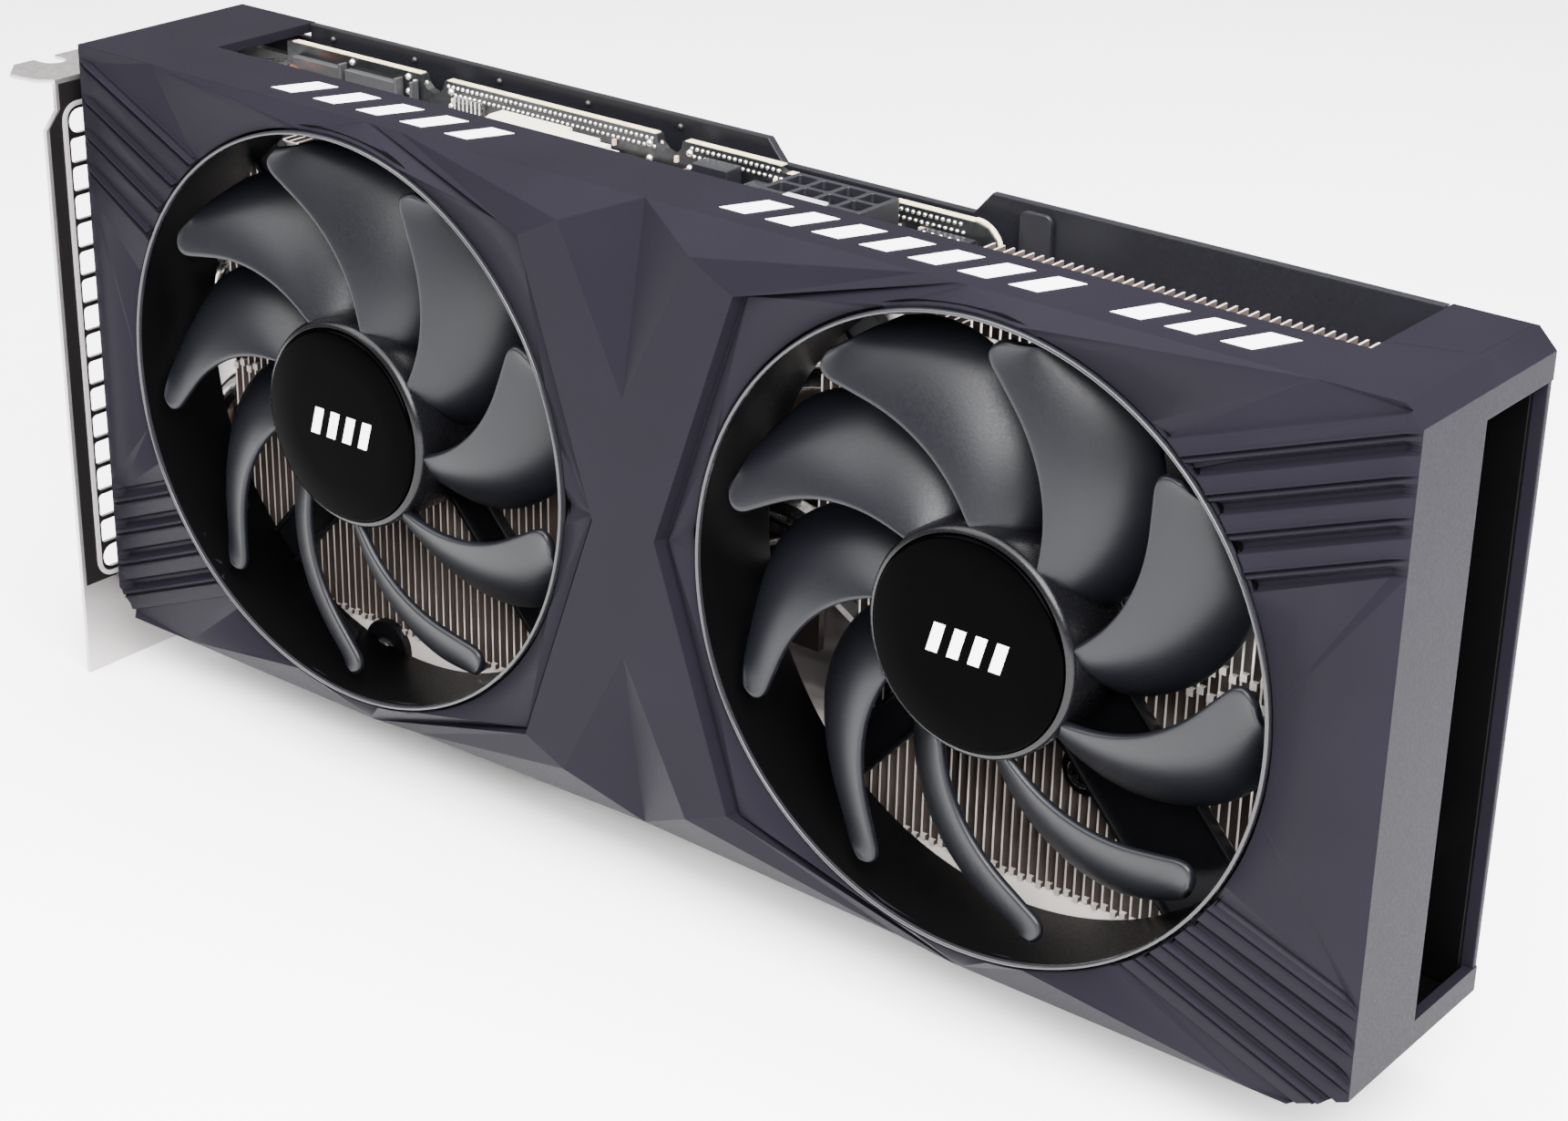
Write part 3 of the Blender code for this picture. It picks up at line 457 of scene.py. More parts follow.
def x_edges():
    """The creases of the X and its two V notches, as 3-D segments."""
    segments = []
    for flip in (lambda p: p, lambda p: mirrored([p])[0]):
        at = {key: flip(point) for key, point in X_RIGHT.items()}
        segments += polyline([TIP_TOP, at["v_top"], at["crease_top"]])
        segments += polyline([at["v_top"], EDGE_TOP, TIP_TOP])
        segments += polyline([TIP_LOW, at["v_low"], at["crease_low"]])
        segments += polyline([at["v_low"], EDGE_LOW, TIP_LOW])
        segments += polyline([at["panel_edge_top"], at["panel_top"], at["waist"]])
        segments += polyline([at["waist"], at["panel_low"], at["panel_edge_low"]])
    return segments


# How far out from the X the panel's lines lie, and their Y: a narrow groove and then the panel
PANEL_STEPS = ((0.45, -2.7), (0.95, -2.7), (1.35, PANEL_Y))


def panel_step(shift, y):
    """The fan panel's outline inside the X, a little further out from the middle."""
    names = ("panel_edge_top", "panel_top", "waist", "panel_low", "panel_edge_low")
    drop = {"panel_edge_top": 0.0, "panel_edge_low": 0.0}
    line = []
    for key in names:
        x, z, _ = X_RIGHT[key]
        line.append((x + shift, z, drop.get(key, y)))
    return line


def outline_points():
    """The shroud's front outline, clockwise from the top left corner, with the vent corners on it."""
    vent_left, vent_right = LONG_VENT_X
    top = [(LEFT_X, TOP_Z, 0), (vent_left, TOP_Z, 0)]
    top += [mirrored([X_RIGHT[k]])[0] for k in ("panel_edge_top", "crease_top")]
    top += [EDGE_TOP, X_RIGHT["crease_top"], X_RIGHT["panel_edge_top"]]
    top += [(vent_right, TOP_Z, 0), (RIGHT_X - CHAMFER, TOP_Z, 0)]
    heights = (TOP_Z - CHAMFER, RIGHT_VENT_Z[1], RIB_TOP_Z, FAN_Z, RIB_LOW_Z["right"],
               RIGHT_VENT_Z[0], 0.0)
    right = [(RIGHT_X, z, 0) for z in heights]
    low = [(236, BOTTOM_Z, 0), (vent_right, BOTTOM_Z, 0), X_RIGHT["panel_edge_low"],
           X_RIGHT["crease_low"], EDGE_LOW]
    low += [mirrored([X_RIGHT[k]])[0] for k in ("crease_low", "panel_edge_low")]
    low += [(vent_left, BOTTOM_Z, 0), (3.6, BOTTOM_Z, 0), (2.6, -1.8, 0)]
    heights = (0.6, LEFT_VENT_Z[0], RIB_LOW_Z["left"], FAN_Z, RIB_TOP_Z, LEFT_VENT_Z[1])
    left = [(LEFT_X, z, 0) for z in heights]
    return [*top, *right, *low, *left]


def ring_points(side, count=96):
    centre = (FANS[side], FAN_Z)
    return [(x, z, RING_Y) for x, z in arc(centre, PANEL_R, 0, 360 - 360 / count, count)]


def side_creases():
    """Three creases from each ring's outer point to the end edge beside it."""
    found = []
    for side, out, edge in (("left", -1, LEFT_X), ("right", 1, RIGHT_X)):
        ring = (FANS[side] + out * PANEL_R, FAN_Z, RING_Y)
        found += [(ring, (edge, z, 0)) for z in (RIB_TOP_Z, FAN_Z, RIB_LOW_Z[side])]
    return found


def crease_segments(outline):
    """Every line of the front but the ribs: outline, creases, panel edges and rings."""
    segments = [*x_edges(), *polyline(outline, True), *side_creases()]
    for shift, y in PANEL_STEPS:
        line = panel_step(shift, y)
        segments += polyline(line) + polyline(mirrored(line))
    for side in FANS:
        segments += polyline(ring_points(side), True)
    return segments


class Sheet:
    """A constrained triangulation of segments and points in X and Z."""

    def __init__(self):
        self.points = []
        self.edges = []
        self.index = {}

    def add(self, x, z):
        key = (round(x, 3), round(z, 3))
        if key not in self.index:
            self.index[key] = len(self.points)
            self.points.append(Vector(key))
        return self.index[key]

    def line(self, a, b):
        first = self.add(*a[:2])
        second = self.add(*b[:2])
        if first != second:
            self.edges.append((first, second))

    def triangles(self):
        made = delaunay_2d_cdt(self.points, self.edges, [], 0, 1e-4)
        return made[0], made[2]


def inside_outline(x, z, loop):
    """Whether a point lies inside a closed loop, by counting the edges to its right."""
    hit = False
    for (x1, z1, _), (x2, z2, _) in polyline(loop, True):
        if (z1 > z) != (z2 > z) and x < (x2 - x1) * (z - z1) / (z2 - z1) + x1:
            hit = not hit
    return hit


def on_front(x, z, outline):
    """Inside the outline and outside both rings."""
    clear = all(math.hypot(x - fx, z - FAN_Z) > PANEL_R - 0.05 for fx in FANS.values())
    return clear and inside_outline(x, z, outline)


def base_triangles(outline):
    """The large facets, as triangles of 3-D points."""
    coarse = Sheet()
    heights = {}
    for a, b in crease_segments(outline):
        coarse.line(a, b)
        for x, z, y in (a, b):
            heights[coarse.add(x, z)] = y
    points, faces = coarse.triangles()
    triangles = []
    for face in faces:
        corners = [points[i] for i in face]
        centre = sum(corners, Vector((0, 0))) / 3
        if not on_front(centre.x, centre.y, outline):
            continue
        solid = []
        for corner in corners:
            nearest = min(heights, key=lambda i: (coarse.points[i] - corner).length_squared)
            solid.append((corner.x, corner.y, heights[nearest]))
        triangles.append(solid)
    return triangles


def height_in(triangles):
    """A function giving the facets' Y at a point, by barycentric interpolation."""
    ready = []
    for a, b, c in triangles:
        area = (b[0] - a[0]) * (c[1] - a[1]) - (c[0] - a[0]) * (b[1] - a[1])
        if abs(area) > 1e-9:
            ready.append((a, b, c, area))

    def height(x, z):
        best = None
        for a, b, c, area in ready:
            v = ((x - a[0]) * (c[1] - a[1]) - (c[0] - a[0]) * (z - a[1])) / area
            w = ((b[0] - a[0]) * (z - a[1]) - (x - a[0]) * (b[1] - a[1])) / area
            least = min(v, w, 1 - v - w)
            if best is None or least > best[0]:
                best = (least, a[2] * (1 - v - w) + b[2] * v + c[2] * w)
            if least > -1e-6:
                break
        return best[1]

    return height


# Each corner's ribs: corner sign in X, corner sign in Z, slope, edge height of the outermost line,
# pitch, section
RIB_GROUPS = (
    (1, 1, 0.335, 98.1, 5.45, "deep"),
    (-1, 1, 0.335, 96.4, 5.9, "fine"),
    (1, -1, 0.50, -7.6, 5.6, "deep"),
    (-1, -1, 0.44, -4.4, 5.9, "deep"),
)
RIB_COUNT = 4
# A rib's section over its pitch, outermost first: share of the pitch, share of the depth.
# Deep: a flat band, a fine raised line, a thin cut, a round bead and then a round groove.
# Fine: two raised lines with a cut between them and then a flat band
RIB_SECTIONS = {
    "deep": ((0.0, 0.55), (0.05, 0.05), (0.44, 0.0), (0.49, -0.28), (0.54, 0.25), (0.60, -0.20),
             (0.67, -0.05), (0.75, 0.62), (0.84, 1.0), (0.94, 0.92)),
    "fine": ((0.0, 0.1), (0.045, -0.7), (0.055, -0.7), (0.09, 0.7), (0.14, 0.7), (0.20, -0.7),
             (0.21, -0.7), (0.25, 0.1)),
}


def rib_frame(group):
    """The rib lines' start at the outer edge and their direction towards the fan."""
    sign_x, sign_z, slope, edge_z, pitch, section = group
    edge_x = RIGHT_X if sign_x > 0 else LEFT_X
    along = Vector((-sign_x, -sign_z * slope)).normalized()
    return edge_x, edge_z, along, pitch, sign_z, RIB_SECTIONS[section]


def rib_lines(group):
    """The lines of a corner's ribs: start on the edge, end of the taper and end at the ring."""
    edge_x, edge_z, along, pitch, sign_z, section = rib_frame(group)
    centre_x = FANS["right"] if edge_x > MIDDLE_X else FANS["left"]
    for k in range(RIB_COUNT + 1):
        for share, _ in section:
            if k == RIB_COUNT and share > 0.0:
                break
            z = edge_z - sign_z * pitch * (k + share)
            start = Vector((edge_x, z))
            offset = start - Vector((centre_x, FAN_Z))
            reach = -offset.dot(along)
            off_axis = (offset + along * reach).length
            if off_axis < PANEL_R:
                reach -= math.sqrt(PANEL_R**2 - off_axis**2)
            yield start, start + along * RIB_TAPER, start + along * reach


def rib_share(x, z):
    """Where a point lies among the ribs: share of a pitch, distance from the edge and section."""
    for group in RIB_GROUPS:
        edge_x, edge_z, along, pitch, sign_z, section = rib_frame(group)
        if (x - MIDDLE_X) * (edge_x - MIDDLE_X) < 0 or (z - FAN_Z) * sign_z < 0:
            continue
        run = (x - edge_x) / along.x
        at_edge = z - along.y * run
        t = (edge_z - at_edge) * sign_z / pitch
        if -0.001 <= t <= RIB_COUNT + 0.001:
            return t - math.floor(t + 1e-4), run, section
    return None


def rib_depth(x, z):
    """How far the ribs sink the front at a point."""
    found = rib_share(x, z)
    if found is None:
        return 0.0
    share, run, section = found
    turns = [*section, (1.0, section[0][1])]
    for (s1, d1), (s2, d2) in zip(turns, turns[1:]):
        if s1 - 1e-3 <= share <= s2 + 1e-3:
            full = d1 + (d2 - d1) * (share - s1) / (s2 - s1)
            return RIB_DEPTH * full * min(abs(run) / RIB_TAPER, 1.0)
    return 0.0


def on_rib(place):
    """True for a point of the front, in world metres, that lies among the ribs."""
    x, _, z = (place - ZERO) / MM
    return place.y < world(0, 2.0, 0).y and rib_share(x, z) is not None


def front_sheet():
    """The shroud's whole front as a bmesh in card millimetres."""
    outline = outline_points()
    height = height_in(base_triangles(outline))
    fine = Sheet()
    for a, b in crease_segments(outline):
        fine.line(a, b)
    for group in RIB_GROUPS:
        last = None
        for start, taper, end in rib_lines(group):
            fine.line(start, taper)
            fine.line(taper, end)
            if last is not None:
                fine.line(last, taper)
            last = taper
    points, faces = fine.triangles()
    shape = bmesh.new()
    made = {}
    for face in faces:
        centre = sum((points[i] for i in face), Vector((0, 0))) / 3
        if not on_front(centre.x, centre.y, outline):
            continue
        corners = []
        for i in face:
            if i not in made:
                x, z = points[i]
                made[i] = shape.verts.new((x, height(x, z) + rib_depth(x, z), z))
            corners.append(made[i])
        shape.faces.new(corners)
    return shape


def is_open_wall(a, b, y_low):
    """True where a stretch of wall is one of the shroud's vents."""
    middle = (a + b) / 2
    lies_flat = abs(a.z - b.z) < 1.5
    if lies_flat and LONG_VENT_X[0] < middle.x < LONG_VENT_X[1]:
        return y_low >= LONG_VENT_Y
    if middle.x > RIGHT_X - 1 and RIGHT_VENT_Z[0] < middle.z < RIGHT_VENT_Z[1]:
        return y_low >= RIGHT_VENT_Y
    return middle.x < LEFT_X + 1 and LEFT_VENT_Z[0] < middle.z < LEFT_VENT_Z[1] and y_low >= LEFT_VENT_Y


def add_walls(shape):
    """Walls straight back from the front's outline, with the vents left open."""
    levels = [LEFT_VENT_Y, LONG_VENT_Y, RIGHT_VENT_Y, BACK_Y]
    columns = {}

    def off_rings(vert):
        return min(math.hypot(vert.co.x - x, vert.co.z - FAN_Z) for x in FANS.values()) > PANEL_R + 0.2

    def column(vert):
        if vert not in columns:
            x, _, z = vert.co
            columns[vert] = [vert, *(shape.verts.new((x, y, z)) for y in levels)]
        return columns[vert]

    for edge in [e for e in shape.edges if e.is_boundary and all(off_rings(v) for v in e.verts)]:
        first = column(edge.verts[0])
        second = column(edge.verts[1])
        for k, y_low in enumerate([0.0, *levels[:-1]]):
            if k and is_open_wall(first[k].co, second[k].co, y_low):
                continue
            shape.faces.new([first[k], second[k], second[k + 1], first[k + 1]])


def build_shroud():
    shape = front_sheet()
    add_walls(shape)
    loose = [v for v in shape.verts if not v.link_faces]
    bmesh.ops.delete(shape, geom=loose, context="VERTS")
    bmesh.ops.recalc_face_normals(shape, faces=shape.faces)
    front = max(shape.faces, key=lambda f: f.calc_area())
    if front.normal.y > 0:
        bmesh.ops.reverse_faces(shape, faces=shape.faces)
    for vert in shape.verts:
        vert.co = world(*vert.co)
    obj = piece("shroud_shell", shape, "shroud", "shroud_plastic", stands_for="shroud")
    smooth(obj, 2.5)
    for face in obj.data.polygons:
        steep = abs(face.normal.y) < 0.75
        if steep or all(on_rib(obj.data.vertices[i].co) for i in face.vertices):
            face.use_smooth = False
    thicken(obj, 1.6, -1)


def build_rings():
    """Each fan's bore: a bright lip, a dark groove round it and a deep inner wall."""
    wall = [(BORE_R + 1.2, -12.5), (BORE_R + 0.2, -12.5), (BORE_R, -12), (BORE_R, 3.6)]
    lip = [(BORE_R, 3.6), *arc((BORE_R + 0.28, 4.05), 0.30, 200, 0, 7), (BORE_R + 0.6, 3.2)]
    groove = [(BORE_R + 0.6, 3.2), (BORE_R + 0.7, 2.5), (BORE_R + 1.2, 2.4), (BORE_R + 1.5, 3.4),
              (BORE_R + 1.5, 1.2)]
    for side in FANS:
        for part, profile, look in (("bore", wall, "bore_black"), ("lip", lip, "ring_lip"),
                                    ("groove", groove, "bore_black")):
            lathe(f"ring_{part}_{side}", profile, 160, look, fan_matrix(side), slot="shroud_plastic")


# --- Fans ---


def blade_point(s, t):
    """A point of a blade's middle surface: s from root to tip, t from clockwise to counter-clockwise."""
    root = HUB_R - 1.0
    radius = root + (TIP_R - root) * s
    sweep = math.radians(-12 + 42 * s**1.2)
    half_chord = 4.2 + 6.2 * min(s / 0.75, 1) ** 0.8
    if s > 0.84:
        half_chord *= math.sqrt(1 - 0.86 * ((s - 0.84) / 0.16) ** 2)
    angle = sweep + t * half_chord / radius
    height = -2.8 + t * 4.8 + 1.6 * (1 - t * t)
    return Vector((radius * math.cos(angle), radius * math.sin(angle), height))


def build_blades(side):
    rows = 22
    columns = 9
    shape = bmesh.new()
    for blade in range(BLADES):
        turn = Matrix.Rotation(math.radians(360 / BLADES * blade + BLADE_PHASE[side]), 4, "Z")
        grid = []
        for i in range(rows):
            s = 1 - (1 - i / (rows - 1)) ** 1.35
            line = []
            for j in range(columns):
                t = math.sin(math.pi * (j / (columns - 1) - 0.5))
                line.append(shape.verts.new(turn @ (blade_point(s, t) * MM)))
            grid.append(line)
        for low, high in zip(grid, grid[1:]):
            for j in range(columns - 1):
                shape.faces.new([low[j], high[j], high[j + 1], low[j + 1]])
    bmesh.ops.transform(shape, matrix=fan_matrix(side), verts=shape.verts)
    obj = piece(f"blades_{side}", shape, "blade", "fan_plastic", f"fan_{side}", f"fan_{side}_rotor")
    obj.data.shade_smooth()
    thicken(obj, 1.3)
    fine = obj.modifiers.new("round", "SUBSURF")
    fine.levels = 1
    fine.render_levels = 1


def build_hub(side):
    rim = [(15.6, -10.4), (17.0, -10.4), (HUB_R, -10), (HUB_R, 2.1), (HUB_R - 0.3, 2.7), (16.6, 3.0),
           (16.1, 3.15), (16.0, 2.6), (15.7, 2.5), (0, 2.5)]
    lathe(f"hub_{side}", rim, 96, "hub_rim", fan_matrix(side), body=f"fan_{side}", slot="fan_plastic")
    disc = [(15.95, 2.7), (15.95, 3.3), (15.8, 3.6), (15.4, 3.75), (10, 3.9), (5, 3.98), (0, 4.0)]
    lathe(f"hub_disc_{side}", disc, 96, "cap", fan_matrix(side), sharp=50, body=f"fan_{side}",
          slot="cap_gloss", stands_for=f"fan_{side}_cap")
    shape = bmesh.new()
    for k in range(4):
        left = -6.3 + 3.5 * k
        slant_bar(shape, (left, -2.3), (left + 1.3, 2.3), 1.3, 3.99)
    for vert in shape.verts:
        vert.co *= MM
    bmesh.ops.transform(shape, matrix=fan_matrix(side), verts=shape.verts)
    mark = piece(f"hub_mark_{side}", shape, "mark", "cap_gloss", f"fan_{side}")
    thicken(mark, 0.08)


# --- More piece helpers ---


def smooth_path(points, steps=8):
    """A Catmull-Rom curve through the points."""
    ends = [Vector(p) for p in points]
    ends = [2 * ends[0] - ends[1], *ends, 2 * ends[-1] - ends[-2]]
    path = []
    for a, b, c, d in zip(ends, ends[1:], ends[2:], ends[3:]):
        for i in range(steps):
            t = i / steps
            path.append(0.5 * (2 * b + (c - a) * t + (2 * a - 5 * b + 4 * c - d) * t**2
                               + (3 * b - a - 3 * c + d) * t**3))
    return [*path, ends[-2]]


def tube(name, points, radius, look, **where):
    """A round tube along a smooth curve through card points, with closed ends."""
    curve = bpy.data.curves.new(name, "CURVE")
    curve.dimensions = "3D"
    curve.bevel_depth = radius * MM
    curve.bevel_resolution = 4
    curve.use_fill_caps = True
    path = [world(*place) for place in smooth_path(points)]
    shape = curve_shape(name, curve, [path], False)
    cleaned_piece(name, shape, 2e-6, Matrix.Identity(4), look, 50, **where)


def beads(name, spots, radius, look, **where):
    """Small round dots, such as solder joints."""
    shape = bmesh.new()
    for spot in spots:
        turn = Matrix.Translation(world(*spot))
        bmesh.ops.create_icosphere(shape, subdivisions=2, radius=radius * MM, matrix=turn)
    obj = piece(name, shape, look, **where)
    obj.data.shade_smooth()


def cross_screw(name, x, y, z, radius, look):
    """A pan head facing the front; its cross recess is a near-black slab on the head, painted shade, with
    no hole cut.
    """
    head = [(radius, 0), (radius, 0.5), *arc((radius - 0.6, 0.55), 0.6, 0, 80, 5), (0, 1.2)]
    lathe(name, head, 32, look, facing_front(y, x, z), sharp=60, slot="screw_steel")
    spans = [((x - 0.25, y - 1.25, z - 1.3), (x + 0.25, y - 1.05, z + 1.3)),
             ((x - 1.3, y - 1.25, z - 0.25), (x + 1.3, y - 1.05, z + 0.25))]
    boxes(name + "_recess_painted_shade", spans, "bore_black", 0, slot="screw_steel")


# --- Heatsink ---

FIN_PITCH = 1.6
FIN_T = 0.34
FIN_Y = (14.3, 24.9)
FIN_LOW_Z = -0.6
FIN_TOP_Z = 85.6
FIN_TALL_Z = 97.4
TALL_FROM_X = 169.0
TALL_BACK_Y = 19.0
STRIP_H = 4.8
# Each fin set's first fin and number of fins
FIN_SETS = {"left": (17.6, 46), "right": (143.6, 54)}
# The rows of folded tabs that lock neighbouring fins together
TAB_ROWS_Z = (47.6, 43.6)


def fin_range(side, x):
    """A fin's lowest and highest Z."""
    if side == "left" and x > 83.4:
        return FIN_LOW_Z, 44.4
    if side == "right" and x < 151.5:
        return 42.0, 73.0
    return FIN_LOW_Z, FIN_TOP_Z


def fin_spans(side, k, x):
    """A fin's boxes: the fin itself, its end strips and its tabs, staggered from fin to fin."""
    low, top = fin_range(side, x)
    front, back = FIN_Y
    step = 0.4 if k % 2 else -0.4
    spans = [((x, front, low), (x + FIN_T, back, top))]
    if side == "right" and x > TALL_FROM_X:
        spans.append(((x, front, top), (x + FIN_T, TALL_BACK_Y, FIN_TALL_Z)))
    # Material 2 is the paler strip metal: painted light on the folded strips
    strip = x + FIN_PITCH
    if low == FIN_LOW_Z:
        spans.append(((x, front - 0.25, low), (strip, front + 0.1, low + STRIP_H), 2))
        spans.append(((x + 0.5, front - 0.6, low - 0.8), (x + 1.2, front, low + 0.1)))
        spans.append(((x + 0.4, front - 0.7, low + STRIP_H + 0.2 + step / 2),
                      (x + 1.3, front, low + STRIP_H + 1.0 + step / 2)))
    if top == FIN_TOP_Z:
        spans.append(((x, front - 0.25, top - STRIP_H), (strip, front + 0.1, top), 2))
        spans.append(((x + 0.4, front - 0.6, top - STRIP_H - 0.9), (x + 1.2, front, top - STRIP_H)))
    for z in TAB_ROWS_Z:
        if low < z < top + 1:
            spans.append(((x + 0.2, front - 0.5, z - 0.55 + step),
                          (x + 1.3, front + 0.3, z + 0.55 + step)))
    return spans


def build_fins():
    for side, (start, count) in FIN_SETS.items():
        spans = []
        for k in range(count):
            spans += fin_spans(side, k, start + FIN_PITCH * k)
        fins = boxes(f"fins_{side}", spans, ["fin", "fin_side_painted_shade", "fin_strip_painted_light"], 0, slot="fin_aluminium",
                     stands_for=f"fin_stack_{side}")
        # Faces across X, the fins' broad sides, take the darker painted-shade fin look
        for face in fins.data.polygons:
            if face.material_index == 0 and abs(face.normal.x) > 0.9:
                face.material_index = 1
    # A near-black plate past the last fin: painted shade at the end of the fin stack
    end_x = FIN_SETS["right"][0] + FIN_PITCH * FIN_SETS["right"][1]
    boxes("fin_end_painted_shadow", [((end_x, 14.3, 0), (end_x + 0.4, 33.8, 90))], "strut", 0.1,
          slot="fin_aluminium")


def build_pipe_bends():
    """The plated bends that the heat pipes make past the fins' ends."""
    bends = {
        "left_low": [(24, 22, 36), (14, 21.6, 37), (8.6, 20.5, 33), (8.2, 19.8, 27), (11, 20.2, 22.5),
                     (20, 21.5, 20.5)],
        "left_high": [(24, 22, 61), (15, 21.5, 61.6), (8.5, 20.5, 58), (7, 19.8, 52.5), (9, 20.2, 48),
                      (18, 21.5, 46)],
        "right_high": [(152, 20.5, 70), (142, 20, 70.5), (134, 20, 68), (129, 20.5, 61)],
        "right_low": [(150, 20.5, 42), (140, 20, 42), (131, 20, 39), (126, 20.5, 32), (124, 21, 24)],
    }
    for name, points in bends.items():
        tube(f"pipe_bend_{name}", points, 2.3, "plated", slot="copper")
    stub = [(20.6, 23.5, 84), (21.4, 24.4, 89), (23.6, 25.4, 93.4)]
    tube("pipe_stub", stub, 1.7, "copper", slot="copper")
    end = [(2.6, 0), (2.6, 1.2), (2.1, 2.0), (1.0, 2.6), (0, 2.7)]
    turn = Matrix.Translation(world(227.2, 23.4, 15.8)) @ Matrix.Rotation(math.radians(90), 4, "Y")
    lathe("pipe_end_cap", [(r, h + 4) for r, h in end], 32, "plated", turn, slot="copper")


# --- Bracket and sockets ---

SHEET_T = 0.8
SOCKETS_Y = 26.1
CELLS = 17
CELL_PITCH = 4.95
CELL_BAR = 0.75
CELL_LOW_Z = 3.2
CELL_Y = (-0.2, 16.0)
SOCKET_NAMES = ("displayport_socket_1", "displayport_socket_2", "displayport_socket_3", "hdmi_socket")


def bracket_loops(edge):
    """An outline with the holes for the vent cells and the sockets."""
    loops = [edge]
    for k in range(CELLS):
        z = CELL_LOW_Z + CELL_PITCH * k
        height = CELL_PITCH - CELL_BAR
        radius = height / 2 - 0.1 if k in (0, CELLS - 1) else 0.7
        loops.append(rounded(CELL_Y[0], CELL_Y[1], z, z + height, radius, 6))
    for name in SOCKET_NAMES:
        low, high = socket_range(name)
        loops.append(rounded(SOCKETS_Y - 3.3, SOCKETS_Y + 3.3, low - 0.3, high + 0.3, 0.6, 4))
    return loops


def socket_range(name):
    """The lowest and highest Z of a socket, in card millimetres."""
    low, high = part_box(name)
    return (low[2] - ZERO.z) / MM, (high[2] - ZERO.z) / MM


def build_bracket():
    edge = [(-5.04, -15.5), (33.7, -15.5), (33.7, 84), (31.1, 87), (31.1, 92.2), (-2.44, 92.2),
            (-2.44, 87), (-5.04, 84)]
    sheet("bracket_plate", bracket_loops(edge), SHEET_T, 0.18, "nickel", facing_end(-4.0),
          slot="bracket_steel", stands_for="io_bracket")
    # A near-black sheet just inside the plate, round the cells and sockets: painted shade on the
    # bracket's inner face
    painted_shadow_outline = [(-4.3, 1.3), (33, 1.3), (33, 83.8), (30.5, 86.8), (30.5, 91.4), (-1.8, 91.4),
             (-1.8, 87.1), (-4.3, 84.2)]
    sheet("bracket_painted_shadow", bracket_loops(painted_shadow_outline), 0.14, 0.03, "bracket_shade", facing_end(-3.52),
          slot="bracket_steel")
    outer = -15.83
    tab = [(-3.6, -2.44), (-6.4, -4.44), (outer + 4, -5.0), (outer, -1.0)]
    for y in (5.4, 25.7):
        tab += [(outer, y - 2.2), *arc((outer + 2.4, y), 2.2, -90, 90, 9), (outer, y + 2.2)]
    tab += [(outer, 29.7), (outer + 4, 33.7), (-6.4, 33.1), (-3.6, 31.1)]
    sheet("bracket_tab", [tab], SHEET_T, 0.18, "nickel", lying(91.9), slot="bracket_steel")
    top = CELL_LOW_Z + CELL_PITCH * CELLS - CELL_BAR
    rim = [rounded(CELL_Y[0] - y, CELL_Y[1] + y, CELL_LOW_Z - z, top + z, radius, 8)
           for y, z, radius in ((1.5, 1.4, 3.2), (0.6, 0.6, 2.3))]
    sheet("bracket_vent_rim", rim, 0.4, 0.1, "rim_pale", facing_end(-3.3), slot="bracket_steel")
    tongues = []
    for name in SOCKET_NAMES:
        low, high = socket_range(name)
        tongues.append(((-3.2, SOCKETS_Y - 0.6, low + 2.4), (9.5, SOCKETS_Y + 0.6, high - 2.4)))
        tongues.append(((9.3, SOCKETS_Y - 2.2, low + 0.8), (10.8, SOCKETS_Y + 2.2, high - 0.8)))
    boxes("socket_tongues", tongues, "housing", 0.12, slot="connector_plastic")


# --- Board, power socket and small parts ---

BOARD_FRONT = 29.4
BOARD_BACK = 31.0
NOTCHES_X = (52.0, 102.0)


